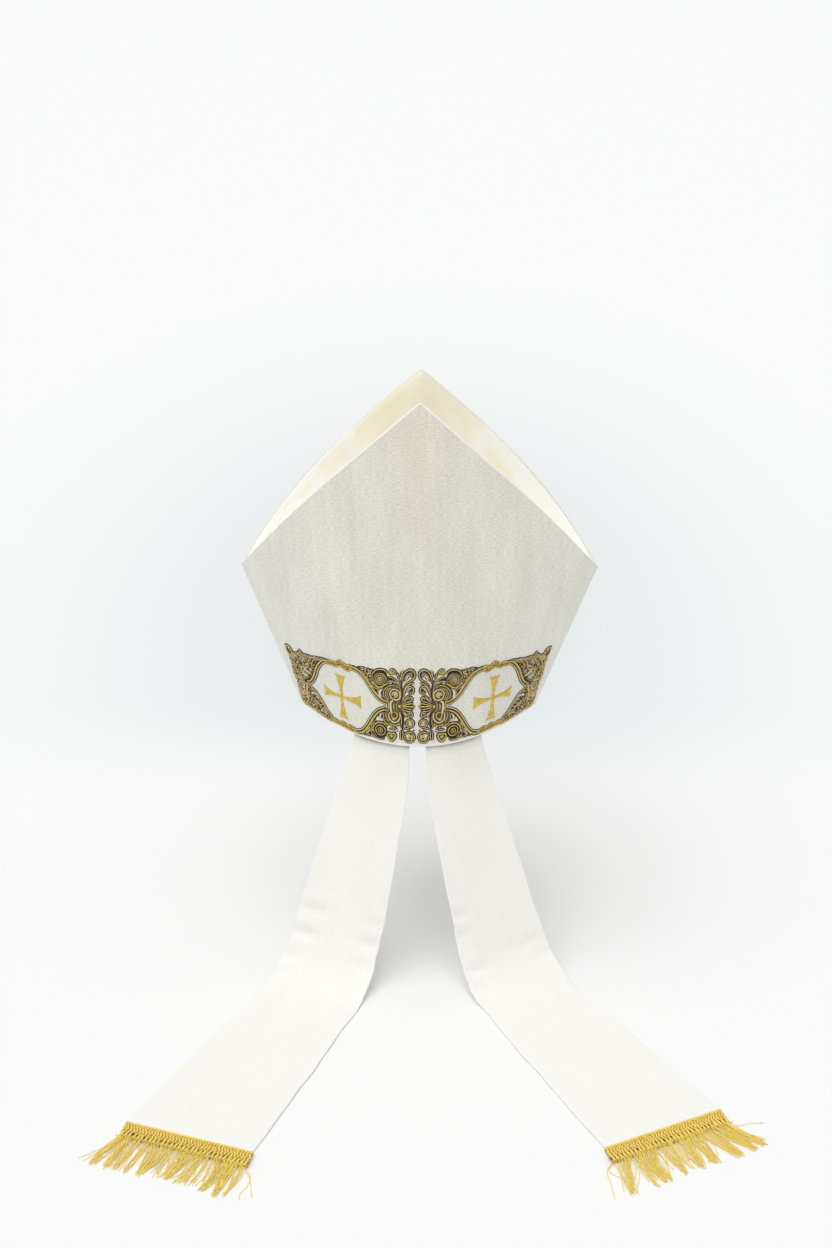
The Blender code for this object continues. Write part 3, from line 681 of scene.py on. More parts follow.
class Pile:
    """Threads gathered for one mesh, either in the frame or in flat coordinates
    (across, up and out, in millimetres) that are wrapped onto a panel."""

    def __init__(self):
        self.points, self.faces, self.uv, self.count = [], [], [], 0

    def grow(self, points, faces, uv):
        self.points.append(points)
        self.uv.append(uv)
        self.faces.extend(tuple(self.count + index for index in face) for face in faces)
        self.count += len(points)

    def ribbon(self, path, half, height, lift, closed=False, ends=WHOLE, arch=ARCH):
        """A raised thread along a flat path: an arch in section, flat underneath."""
        count, ring = len(path), len(arch)
        scale = np.ones(count) if closed else taper(count, ends)
        cosine, sine = np.cos(np.radians(arch)), np.sin(np.radians(arch))
        beside = sideways(path, closed)[:, None] * (half * scale)[:, None, None]
        points = with_height(path[:, None] + beside * cosine[:, None],
                             lift + height * scale[:, None] * sine)
        girth = np.linspace(0, 1, ring) * math.pi * half
        faces = ring_faces(count, ring, closed)
        if not closed:
            faces += [range(ring), range((count - 1) * ring, count * ring)[::-1]]
        self.grow(points, faces, pairs(distances(path)[:, None], girth) * MM)

    def knot(self, centre, radius, height, spokes=7):
        """A small domed knot."""
        angles = [2 * math.pi * spoke / spokes for spoke in range(spokes)]
        points = [(centre[0] + radius * spread * math.cos(angle),
                   centre[1] + radius * spread * math.sin(angle), KNOT_LIFT + height * rise)
                  for spread, rise in KNOT_LEVELS for angle in angles]
        last, peak = len(points) - spokes, len(points)
        faces = ring_faces(len(KNOT_LEVELS), spokes, flip=True)
        faces += [(last + spoke, last + (spoke + 1) % spokes, peak) for spoke in range(spokes)]
        faces.append(range(spokes)[::-1])
        points = np.array(points + [(*centre, KNOT_LIFT + height)])
        self.grow(points, faces, points[:, :2] * MM)

    def tube(self, path, radius, sides=6, radii=None):
        """A round thread through points in the frame, closed at both ends."""
        count = len(path)
        forward = unit(np.gradient(path, axis=0))
        helper = np.where(np.abs(forward[:, 2:3]) < 0.9, [[0, 0, 1.0]], [[1.0, 0, 0]])
        right = unit(np.cross(forward, helper))
        up = np.cross(right, forward)
        angle = np.arange(sides) * 2 * math.pi / sides
        girth = np.full(count, radius) if radii is None else radii
        ring = right[:, None] * np.cos(angle)[:, None] + up[:, None] * np.sin(angle)[:, None]
        points = (path[:, None] + ring * girth[:, None, None]).reshape(-1, 3)
        faces = ring_faces(count, sides, flip=True)
        faces += [range(sides)[::-1], range((count - 1) * sides, count * sides)]
        self.grow(points, faces, pairs(distances(path)[:, None], angle * radius))

    def build(self, name, material):
        points, uv = np.vstack(self.points), np.vstack(self.uv)
        return mesh_object(name, points, self.faces, [material], uv)

    def build_on_panel(self, name, material, side, hand=0):
        """Wraps the pile; a band's half sits a little low and off the middle."""
        points = np.vstack(self.points) * MM
        across, up = points[:, 0], points[:, 1]
        if hand:
            share = np.clip(across / BAND_SETTLE, 0, 1)
            drop = BAND_DROP * share if hand < 0 else 0
            up = up * (1 - BAND_SHRINK - BAND_NARROWING * share) - drop
            up = np.maximum(up, BAND_FOOT + (up - BAND_FOOT) * BAND_FOOT_SHARE)
            across = hand * across + BAND_SHIFT
        wrapped = offset_surface(across_at(across, up), up, side, points[:, 2])
        faces = self.faces
        if (hand or 1) * side > 0:
            faces = [face[::-1] for face in faces]
        return mesh_object(name, wrapped, faces, [material], np.vstack(self.uv))


# ---- panels ----
def make_panel(name, side, materials):
    """A panel's cloth, its lining and the folded edge between them."""
    share = np.linspace(-1, 1, PANEL_COLUMNS + 1) * (1 - SEAM_ROOM / RIM_HALF_WIDTH)
    column, row = np.meshgrid(share, np.linspace(0, 1, PANEL_ROWS + 1))
    across = column * (RIM_HALF_WIDTH + (SHOULDER_HALF_WIDTH - RIM_HALF_WIDTH) * row)
    height = row * edge_height(column * SHOULDER_HALF_WIDTH)
    points = surface(across, height, side).reshape(-1, 3)
    faces = grid_faces(PANEL_COLUMNS, PANEL_ROWS, flip=side > 0)
    uv = pairs(arc_length(across, height), height)
    panel = mesh_object(name, points, faces, materials, uv)
    return add_wall(panel, WALL, inner_material=1, edge_material=2, round_edge=0.0005)


def make_binding(name, side, material):
    """The fine folded edge that closes the rim."""
    pile = Pile()
    reach = arc_length(np.array(RIM_HALF_WIDTH), np.array(0.0)) / MM - 0.5
    path = pairs(np.linspace(-reach, reach, 240), BINDING_MIDDLE)
    pile.ribbon(path, BINDING_HALF, BINDING_HEIGHT, -0.1)
    return pile.build_on_panel(name, material, side)


def edge_thread(name, side, material, across, drop, inset, radius, **shape):
    """A round thread that follows a panel's top edge."""
    pile = Pile()
    path = offset_surface(across, edge_height(across) - drop, side, -inset)
    pile.tube(path, radius, **shape)
    return pile.build(name, material)


def make_edge_fold(name, side, material):
    """The cloth turned over a panel's top edge, from shoulder to shoulder."""
    across = np.sin(np.linspace(-1, 1, 181) * math.pi / 2) * (SHOULDER_HALF_WIDTH - FOLD_GAP)
    across = np.sort(np.concatenate([across, np.linspace(-PEAK_REACH, PEAK_REACH, 14)]))
    thin = FOLD_RADIUS * (1 - FOLD_THINNING * (np.abs(across) / SHOULDER_HALF_WIDTH) ** 3)
    return edge_thread(name, side, material, across, FOLD_RADIUS - FOLD_PROUD, WALL / 2,
                       FOLD_RADIUS, sides=8, radii=thin)


def make_understitch(name, side, material):
    """The row of stitches that holds the satin back from the edge."""
    across = np.linspace(-UNDERSTITCH_REACH, UNDERSTITCH_REACH, 260)
    return edge_thread(name, side, material, across, UNDERSTITCH_DROP,
                       LINING_INSET + UNDERSTITCH_SINK, UNDERSTITCH_RADIUS)


def make_tacks(material):
    """Overcast stitches that close the corner past each end of the satin."""
    pile = Pile()
    span = np.linspace(-1, 1, 7)
    reaches = np.arange(LINING_HALF_WIDTH - FOLD_GAP, SHOULDER_HALF_WIDTH - TACK_MARGIN,
                        TACK_PITCH)
    for shoulder in (-1, 1):
        for across in reaches:
            height = float(edge_height(across)) - TACK_DROP
            depth = float(surface(np.array(across), np.array(height), 1)[1])
            half = max(depth - WALL / 2, TACK_LEAST_HALF)
            path = np.stack([np.full(7, shoulder * across), half * span,
                             height - TACK_SAG * (1 - span ** 2)], axis=-1)
            pile.tube(path, TACK_RADIUS)
    return pile.build("corner_tacks", material)


def make_lining(material):
    """The satin valley between the peaks, with the slack that satin keeps."""
    column, row = np.meshgrid(
        np.linspace(-1, 1, LINING_COLUMNS + 1), np.linspace(-1, 1, LINING_ROWS + 1))
    across = column * LINING_HALF_WIDTH
    top = offset_surface(across, edge_height(across) - LINING_DROP, 1, -LINING_INSET)
    top[..., 1] = np.maximum(top[..., 1], SATIN_LEAST_DEPTH)
    floor = LINING_FLOOR - LINING_FLOOR_FALL * column ** 2
    bottom = np.minimum(floor, top[..., 2] - SATIN_LEAST_RISE)
    rise = np.abs(row)
    height = bottom + (top[..., 2] - bottom) * rise ** LINING_POWER
    # two waves of unlike length along the valley, so that no two folds are the same
    ripple = np.sin(across * 190 + 3 * row) + 0.6 * np.sin(across * 97 - 5 * rise + 1.3)
    slack = rise * (1 - rise) * 4 * (SATIN_SLACK + ripple * SATIN_RIPPLE)
    depth = top[..., 1] * row - np.sign(row) * slack
    points = np.stack([top[..., 0], depth, height], axis=-1).reshape(-1, 3)
    faces = grid_faces(LINING_COLUMNS, LINING_ROWS)
    uv = pairs(across, row * SATIN_HALF_LENGTH)
    lining = mesh_object("gusset_satin", points, faces, [material], uv)
    return add_wall(lining, LINING_WALL)


# ---- the embroidered band ----
def lay_thread(piles, thread, path, width, height=None, closed=False, ends=WHOLE, shadowed=True):
    """One thread, and the painted shadow, dark as the ground, along both its sides."""
    height = height or THREAD_HEIGHT[thread]
    piles[thread].ribbon(path, width / 2, height, THREAD_LIFT, closed, ends)
    # painted shadow: a flat dark ribbon, wider than the thread, along both its sides
    if shadowed and thread != "dark":
        half = width / 2 + SHADOW_REACH
        piles["ground"].ribbon(path, half, SHADOW_HEIGHT, GROUND_AND_SHADOW_LIFT, closed, ends, LOW_ARCH)


def clear_of_middle(path):
    """Eases the innermost ornament outwards, so the two halves never touch."""
    across, up = np.transpose(path)
    return np.stack([across + CENTRE_GAP * np.clip(1 - across / CENTRE_REACH, 0, 1), up], axis=-1)


def lay_strokes(piles, strokes):
    for thread, width, ends, points, *height in strokes:
        closed = ends is None
        path = clear_of_middle(spline(points, closed=closed))
        lay_thread(piles, thread, path, width * STROKE_GIRTH, *height, closed=closed, ends=ends)


def circle(centre, radius):
    count = max(9, int(2 * math.pi * radius / SPACING))
    angle = np.arange(count) * 2 * math.pi / count
    return pairs(centre[0] + radius * np.cos(angle), centre[1] + radius * np.sin(angle))


def lay_rings(piles, rings):
    for thread, across, up, radius, width in rings:
        path = clear_of_middle(circle((across, up), radius))
        lay_thread(piles, thread, path, width, closed=True)


def lay_chain(piles, points, rng):
    """Rings of uneven size threaded along a line."""
    for centre in spline(points, CHAIN_GAP):
        thread = rng.choices(("antique", "gold", "cream"), (0.7, 0.2, 0.1))[0]
        lay_thread(piles, thread, circle(centre, rng.uniform(1.0, 1.3)), 0.8, closed=True)


def lay_knots(piles, knots):
    for thread, across, up, radius, *rise in knots:
        rise = rise[0] if rise else THREAD_HEIGHT[thread] * 1.2
        piles[thread].knot(clear_of_middle((across, up)), radius, rise, spokes=9)


def inside(point, outline):
    """Whether a flat point lies in a closed outline."""
    x, y = point
    odd = False
    for (ax, ay), (bx, by) in zip(outline, outline[1:] + outline[:1]):
        if (ay > y) != (by > y) and x < ax + (y - ay) * (bx - ax) / (by - ay):
            odd = not odd
    return odd


def scatter(outline, gap, rng, tries=4000):
    """Points inside an outline that keep a distance from each other."""
    xs, ys = zip(*outline)
    found = []
    for _ in range(tries):
        point = (rng.uniform(min(xs), max(xs)), rng.uniform(min(ys), max(ys)))
        if inside(point, outline) and all(math.dist(point, other) > gap for other in found):
            found.append(point)
    return found


def lay_patch(piles, thread, outline, height=0.25):
    """A flat filling inside an outline, with a rounded border."""
    border = spline(outline, 1.0, closed=True)
    piles[thread].ribbon(border, 0.9, height + 0.08, GROUND_AND_SHADOW_LIFT, closed=True, arch=LOW_ARCH)
    low, high = border.min(axis=0), border.max(axis=0)
    counts = np.ceil((high - low) / PATCH_CELL).astype(int)
    corners, points, faces = {}, [], []
    for i in range(counts[0]):
        for j in range(counts[1]):
            if not inside(low + (np.array([i, j]) + 0.5) * PATCH_CELL, outline):
                continue
            quad = []
            for key in ((i, j), (i + 1, j), (i + 1, j + 1), (i, j + 1)):
                if key not in corners:
                    corners[key] = len(points)
                    points.append((*(low + np.array(key) * PATCH_CELL), height))
                quad.append(corners[key])
            faces.append(quad)
    points = np.array(points)
    piles[thread].grow(points, faces, points[:, :2] * MM)


def lay_crest(piles, outline, rng):
    """Bright gold knots packed into a crest with a lumpy skyline."""
    # the bronze patch is painted shade between the knots
    lay_patch(piles, "bronze", outline)
    for point in scatter(outline, 1.25, rng):
        radius = rng.uniform(0.6, 0.95)
        piles["gold"].knot(point, radius, rng.uniform(0.8, 1.5))
    for point in spline(outline, 1.9, closed=True):
        piles["gold"].knot(point, rng.uniform(0.65, 0.95), rng.uniform(0.7, 1.2))


def lay_granules(piles, outline, rng, gap=2.2):
    """Small curls, seeds and rings packed tightly on a dark ground."""
    lay_patch(piles, "ground", outline)
    for point in scatter(outline, gap, rng):
        kind = rng.random()
        thread = rng.choices(("antique", "gold", "cream", "silver"), (0.55, 0.15, 0.24, 0.06))[0]
        turn = rng.uniform(0, 2 * math.pi)
        cosine, sine = math.cos(turn), math.sin(turn)
        # rings, curls and seeds, in falling number
        if kind < 0.45:
            lay_thread(piles, thread, circle(point, rng.uniform(0.8, 1.1)), 0.7, 0.9, closed=True)
        elif kind < 0.72:
            reach, curl = rng.uniform(1.1, 1.9), rng.choice((-1, 1)) * rng.uniform(0.6, 1.3)
            points = [(point[0] + reach * s * cosine - curl * (1 - s * s) * sine,
                       point[1] + reach * s * sine + curl * (1 - s * s) * cosine)
                      for s in (-1, 0, 1)]
            lay_thread(piles, thread, spline(points, 0.6), 0.8, 1.0, ends=(0.5, 0.5))
        else:
            piles[thread].knot(point, rng.uniform(0.6, 1.0), 1.0)


def lay_frame(piles, stretch, threads):
    """Threads side by side along one stretch of the medallion's frame."""
    path = spline(stretch, 0.45)
    left = sideways(path)
    for thread, offset, width, height in threads:
        wide = thread == "gold"
        lay_thread(piles, thread, path - left * offset, width, height, shadowed=wide,
                   ends=(0.6, 0.6) if wide else (0.8, 0.8))


def make_band_half(face, side, word, hand, looks):
    """One embroidered half of the band, a piece for each kind of thread."""
    rng = random.Random(SEED)
    piles = {thread: Pile() for thread in THREADS}
    for thread, patches in (("bronze", BRONZE_PATCHES), ("ground", DARK_PATCHES)):
        for patch in patches:
            lay_patch(piles, thread, patch)
    lay_strokes(piles, UPPER_STROKES + LOWER_STROKES + CENTRE_STROKES + OUTER_STROKES)
    lay_rings(piles, INNER_RINGS)
    lay_knots(piles, INNER_KNOTS)
    for chain in RING_CHAINS:
        lay_chain(piles, chain, rng)
    for corner in CORNERS:
        lay_granules(piles, corner, rng, 1.8)
    for stretch in FRAME_STRETCHES:
        lay_frame(piles, stretch, FRAME_THREADS)
    lay_frame(piles, ROPE_STRETCH, ROPE_THREADS)
    for crest in (CREST_TOP, CREST_LOW):
        lay_crest(piles, crest, rng)
    for outline in (OUTER_UPPER, OUTER_LOWER):
        lay_granules(piles, outline, rng)
    for thread, pile in piles.items():
        piece = pile.build_on_panel(f"band_{face}_{word}_{thread}", looks[thread], side, hand)
        slot = "gold_thread" if thread in ("gold", "bronze") else "antique_thread"
        dress(piece, slot, f"embroidery_{face}_{word}")


def make_cross(face, side, word, hand, material):
    """A cross pattee in padded satin stitch."""
    pile = Pile()
    steps, lanes = 30, 10
    row = lanes + 1
    low = (steps + 1) * row
    border = [*range(row), *range(row + lanes, low, row), *range(low - 2, steps * row - 1, -1),
              *range((steps - 1) * row, 0, -row)]
    faces = grid_faces(lanes, steps, flip=True) + grid_faces(lanes, steps, start=low)
    faces += [(a, b, low + b, low + a) for a, b in zip(border, border[1:] + border[:1])]
    s, t = np.meshgrid(np.linspace(0, 1, steps + 1), np.linspace(-1, 1, row), indexing="ij")
    end = np.clip((1 - s) * 9, 0, 1) ** 0.5
    crown = 1 - np.abs(t) ** CROSS_CROWN
    out = CROSS_LIFT + (CROSS_HEIGHT + CROSS_RISE * s) * crown * end
    for arm, (length, flare) in enumerate(CROSS_ARMS):
        along = np.array([math.cos(arm * math.pi / 2), math.sin(arm * math.pi / 2)])
        beside = np.array([-along[1], along[0]])
        half = CROSS_NECK + (flare - CROSS_NECK) * (0.08 * s + 0.92 * s ** 2.4)
        reach = s * length - CROSS_HOLLOW * s ** 6 * (1 - t ** 2)
        flat = np.array(CROSS_CENTRE) + reach[..., None] * along + (half * t)[..., None] * beside
        uv = pairs(reach, half * t) * MM
        points = [with_height(flat, out), with_height(flat, np.full_like(out, CROSS_UNDERSIDE))]
        pile.grow(np.vstack(points), faces, np.vstack([uv, uv]))
    cross = pile.build_on_panel(f"satin_cross_{face}_{word}", material, side, hand)
    dress(cross, "gold_thread", f"cross_{face}_{word}")


# ---- lappets ----
def smooth(share):
    share = np.clip(share, 0.0, 1.0)
    return share ** 2 * (3 - 2 * share)


def fall_table():
    """How far out and how high a lappet is after each step of its run."""
    run = (np.arange(round(BEND_END / FALL_STEP)) + 0.5) * FALL_STEP
    wall_slope = math.atan((RIM_HALF_DEPTH - PEAK_HALF_GAP) / PEAK_HEIGHT)
    angle = wall_slope + (LAPPET_LEAN - wall_slope) * smooth(run / LAPPET_SETTLE)
    angle += (math.pi / 2 - LAPPET_LEAN) * smooth((run - BEND_START) / (BEND_END - BEND_START))
    out = np.concatenate([[0], np.cumsum(np.sin(angle))]) * FALL_STEP
    height = -np.concatenate([[0], np.cumsum(np.cos(angle))]) * FALL_STEP
    return out, height * (TABLE_HEIGHT + LAPPET_WALL) / height[-1]


FALL_OUT, FALL_HEIGHT = fall_table()


def fall(run):
    runs = np.arange(len(FALL_OUT)) * FALL_STEP
    out = np.interp(run, runs, FALL_OUT) + np.maximum(run - runs[-1], 0)
    return out, np.interp(run, runs, FALL_HEIGHT)


def lappet_width(run):
    share = np.clip(run / LAPPET_RUN, 0.0, 1.0)
    return LAPPET_TOP_WIDTH + LAPPET_FLARE * share - LAPPET_FLARE_EASE * share ** 2


def lappet_points(row, beside, run, lift=0.0):
    """Points of a lappet's upper face; beside is positive away from the middle."""
    beside, run, lift = np.broadcast_arrays(beside, run, lift)
    side = row["side"]
    facing, slant = math.radians(row["facing"]), math.radians(row["slant"])
    start = offset_surface(np.array(side * row["start"]), np.array(0.0), -1, -LAPPET_INSET)
    along = np.array([side * math.cos(facing), math.sin(facing), 0])
    away = np.array([side * math.sin(facing), -math.cos(facing), 0])
    across = run * math.sin(slant) + beside * math.cos(slant)
    out, height = fall(np.maximum(run * math.cos(slant) - beside * math.sin(slant), 0))
    hanging = start + across[..., None] * along + out[..., None] * away
    hanging[..., 2] = height
    x = row["start"] + beside * math.cos(math.atan(2 * float(bow(0.0)) * row["start"]))
    hidden, shown = np.maximum(-run, 0.0), np.maximum(run, 0.0)
    out, height = fall(shown)
    sewn = (offset_surface(side * x, hidden, -1, -LAPPET_INSET)
            + (shown * math.sin(slant))[..., None] * along + out[..., None] * away)
    sewn[..., 2] = np.where(run > 0, height, hidden)
    share = smooth(run / LAPPET_SETTLE)[..., None]
    points = sewn * (1 - share) + hanging * share
    points[..., 2] += lift
    return points


def pucker_field(name, beside, run, width):
    """How deep the cloth is dented at each point of a lappet."""
    dent = np.zeros_like(run)
    for middle, edge, inset, reach, depth in PUCKERS[name]:
        off = (width / 2 - edge * beside - inset) / reach
        along = (run - middle) / PUCKER_LENGTH
        fold = np.exp(-(along - 0.7) ** 2) - 0.5 * np.exp(-(along + 1.1) ** 2)
        dent += depth * fold * np.exp(-off ** 2)
    return dent


def make_lappet(name, row, material):
    length = LAPPET_TONGUE + row["hem"] + BRAID_WIDTH * 0.9
    share, column = np.meshgrid(np.linspace(0, 1, LAPPET_ROWS + 1),
                                np.linspace(-1, 1, LAPPET_COLUMNS + 1), indexing="ij")
    run = share * length - LAPPET_TONGUE
    width = lappet_width(run)
    hem = np.sin(np.clip(run / LAPPET_RUN, 0, 1) * math.pi)
    phase = 1.7 if row["side"] > 0 else 0.0
    # waves of unlike length again, in radians for each metre of run
    wave = hem * EDGE_WAVE * (np.sin(run * 61 + phase) + 0.6 * np.sin(run * 133 + 2 * phase))
    beside = column * (width / 2 + wave)
    free = np.clip(run / LAPPET_SETTLE, 0, 1) * np.clip((LAPPET_RUN - run) / HEM_HOLD, 0, 1)
    hanging = 1 - smooth((run - BEND_START) / (BEND_END - BEND_START))
    swell = LAPPET_SWELL * np.sin(column * 2.4 + run * 17 + phase) * hanging
    swell += LAPPET_RIPPLE * np.sin(run * 74 + column * 1.3 + phase)
    dent = pucker_field(name, beside, run, width)
    points = lappet_points(row, beside, run + row["tilt"] * beside * share ** 4)
    normal = unit(np.cross(np.gradient(points, axis=0), np.gradient(points, axis=1)))
    normal *= np.sign(normal[-1, 0, 2])
    # past the bend the cloth can only stand proud of the table
    on_table = smooth((run - BEND_END + 0.02) / 0.03)
    proud = (swell * free - dent) * (1 - on_table) + np.abs(swell) * free * on_table * 0.8
    proud -= dent * on_table * 0.35
    points = points + normal * proud[..., None]
    points[..., 2] = np.maximum(points[..., 2], TABLE_HEIGHT + LAPPET_WALL - 0.0001)
    faces = grid_faces(LAPPET_COLUMNS, LAPPET_ROWS, flip=row["side"] > 0)
    lappet = mesh_object(f"lappet_cloth_{name}", points.reshape(-1, 3), faces, [material],
                         pairs(beside, run))
    add_wall(lappet, LAPPET_WALL - 0.0002, round_edge=0.0006)
    return dress(lappet, "lappet_cloth", f"lappet_{name}")


# ---- braid and fringe ----
def on_braid(row, beside, past, lift):
    """A place on the braid: along it, past its upper edge and above the lappet."""
    beside, past = np.broadcast_arrays(np.asarray(beside, float), np.asarray(past, float))
    return lappet_points(row, beside, row["hem"] + row["tilt"] * beside + past, lift)


def make_braid(name, row, looks):
    """Knitted gold braid: a looped edge, rows of slanted stitches and open bars."""
    half = BRAID_HALF
    rng = random.Random(SEED + (3 if row["side"] > 0 else 4))
    gold, backing_shade, holes = Pile(), Pile(), Pile()

    def place(beside, past, lift):
        return on_braid(row, beside - BRAID_SHIFT - BRAID_SHEAR * past, past, lift)

    def backing(top, bottom, columns, rows):
        along, down = np.meshgrid(np.linspace(-half, half, columns + 1),
                                  np.linspace(top, bottom, rows + 1))
        faces = grid_faces(columns, rows, flip=row["side"] > 0)
        backing_shade.grow(place(along, down, BACKING_LIFT).reshape(-1, 3), faces, pairs(along, down))

    def cord(past, lift, radius, wobble, pitch):
        beside = np.linspace(-half, half, 240)
        turn = beside / pitch * 2 * math.pi
        sway, bob = wobble * np.sin(turn), abs(wobble) * 0.6 * np.cos(turn)
        gold.tube(place(beside, past + sway, lift + bob), radius, sides=5)

    def stitches(top, bottom, lean, pitch, radius, lift):
        count = int(2 * half / pitch)
        t = np.linspace(0, 1, 5)
        for index in range(count):
            tilt = lean + rng.uniform(-0.0005, 0.0005)
            middle = -half + (index + rng.uniform(0.35, 0.65)) * 2 * half / count
            beside = np.clip(middle + tilt * (t - 0.5), -half, half)
            arch = rng.uniform(0.0003, 0.0009) * np.sin(t * math.pi)
            girth = radius * rng.uniform(0.85, 1.1) * (0.66 + 0.34 * np.sin(t * math.pi))
            gold.tube(place(beside, top + (bottom - top) * t, lift + arch), radius, radii=girth)

    # Painted shade: dark tubes laid in the openings of the lowest row.
    def openings(top, bottom, lean, pitch):
        count = int(2 * half / pitch)
        t = np.linspace(0, 1, 4)
        for index in range(count):
            middle = -half + (index + rng.uniform(-0.1, 0.1)) * 2 * half / count
            past = top + rng.uniform(-0.0006, 0.0006) + (bottom - top) * rng.uniform(0.7, 1.1) * t
            girth = rng.uniform(0.00010, 0.00085) * (0.5 + 0.5 * np.sin(t * math.pi))
            beside = np.clip(middle + lean * (t - 0.5), -half, half)
            path = place(beside, past, BACKING_LIFT + 0.0001)
            holes.tube(path, 0.001, sides=5, radii=girth)

    # the backing is painted shade: a sheet in the stitches' shade colour that shows between them
    backing(top=0.0003, bottom=BRAID_WIDTH - 0.0006, columns=89, rows=10)
    for strand in (-1, 1):
        cord(past=0.0011, lift=0.0011, radius=0.00058, wobble=0.00060 * strand, pitch=0.0031)
    for stitch_row in STITCH_ROWS:
        stitches(*stitch_row)
    openings(top=0.0128, bottom=0.0164, lean=0.0010, pitch=0.0035)
    braid = gold.build(f"braid_{name}", looks["braid"])
    ground = add_wall(backing_shade.build(f"braid_backing_shade_{name}", looks["backing_shade"]), BACKING_LIFT)
    shade = holes.build(f"braid_holes_{name}", looks["holes"])
    return [dress(piece, "gold_thread", f"fringe_{name}") for piece in (braid, ground, shade)]


def lay_strand(pile, row, beside, past, layer, rng):
    """One cut thread, from the braid down onto the table; lengths in metres."""
    floor = TABLE_HEIGHT + STRAND_RADIUS + 0.0001
    points = on_braid(row, beside, past, 0.0)
    gone = distances(points[:, :2])
    start = TABLE_HEIGHT + LAPPET_WALL + rng.uniform(0.0009, 0.0018)
    rest = floor + layer * CLUMP_HEIGHT * (1 - 0.5 * gone / gone[-1])
    rest = rest + 0.0004 * np.abs(np.sin(gone * rng.uniform(90, 220)))
    points[:, 2] = rest + (start - rest) * np.exp(-(gone / STRAND_DROOP) ** 2)
    pile.tube(points, STRAND_RADIUS, sides=5)


def make_fringe(name, row, material):
    """Cut gold threads that fall off the braid onto the table in loose clumps."""
    rng = random.Random(SEED + (1 if row["side"] > 0 else 2))
    pile = Pile()
    t = np.linspace(0, 1, STRAND_STEPS)
    bend = np.sin(t * math.pi)
    lean = BRAID_SHIFT + BRAID_SHEAR * BRAID_WIDTH
    outer = BRAID_HALF - 0.0008
    strand = 0
    # the clumps' own threads, one a little past the next
    for root_from, root_to, tip_from, tip_to, past, threads, swing in CLUMPS[name]:
        count = round(threads * CLUMP_FULLNESS)
        for index in range(count):
            share = (index + rng.uniform(0.1, 0.9)) / count
            root = np.clip((root_from + (root_to - root_from) * share) * MM,
                           -outer - lean, outer - lean - 0.004 * rng.random())
            tip = tip_from + (tip_to - tip_from) * (0.6 * share + 0.4 * rng.random())
            tip = (tip + rng.gauss(0, 0.7)) * MM
            pull = rng.uniform(0.65, 1.1)
            beside = root + (tip - root) * t ** pull + (swing * MM + rng.gauss(0, 0.0015)) * bend
            beside = beside + 0.0003 * np.sin(t * rng.uniform(8, 15) + rng.uniform(0, 6))
            end = (past + rng.uniform(-6.0, 1.5)) * MM
            start = BRAID_WIDTH - rng.choice((0.0060, 0.0032, 0.0020, 0.0012))
            layer = (strand * 7 % 11) / 10
            lay_strand(pile, row, beside, start + (end - start) * t, layer, rng)
            strand += 1
    # loose ones between them, which lean to the nearest clump
    for index in range(LOOSE_THREADS):
        root = -outer - lean + 2 * outer * (index + rng.uniform(0.2, 0.8)) / LOOSE_THREADS
        clump = min(CLUMPS[name], key=lambda one: abs((one[0] + one[1]) / 2 * MM - root))
        tip = (rng.uniform(clump[2] - 1.5, clump[3] + 1.5) + rng.gauss(0, 1.2)) * MM
        beside = root + (tip - root) * t + rng.gauss(0, 0.0022) * bend
        end = (clump[4] + rng.uniform(-9.0, 1.0)) * MM
        past = BRAID_WIDTH - 0.0035 + (end - BRAID_WIDTH) * t
        lay_strand(pile, row, beside, past, rng.random(), rng)
    for points in STRAYS[name]:
        path = spline(points, 2.6) * MM
        lay_strand(pile, row, path[:, 0], path[:, 1], 0.2, rng)
    fringe = pile.build(f"fringe_strands_{name}", material)
    return dress(fringe, "gold_thread", f"fringe_{name}")


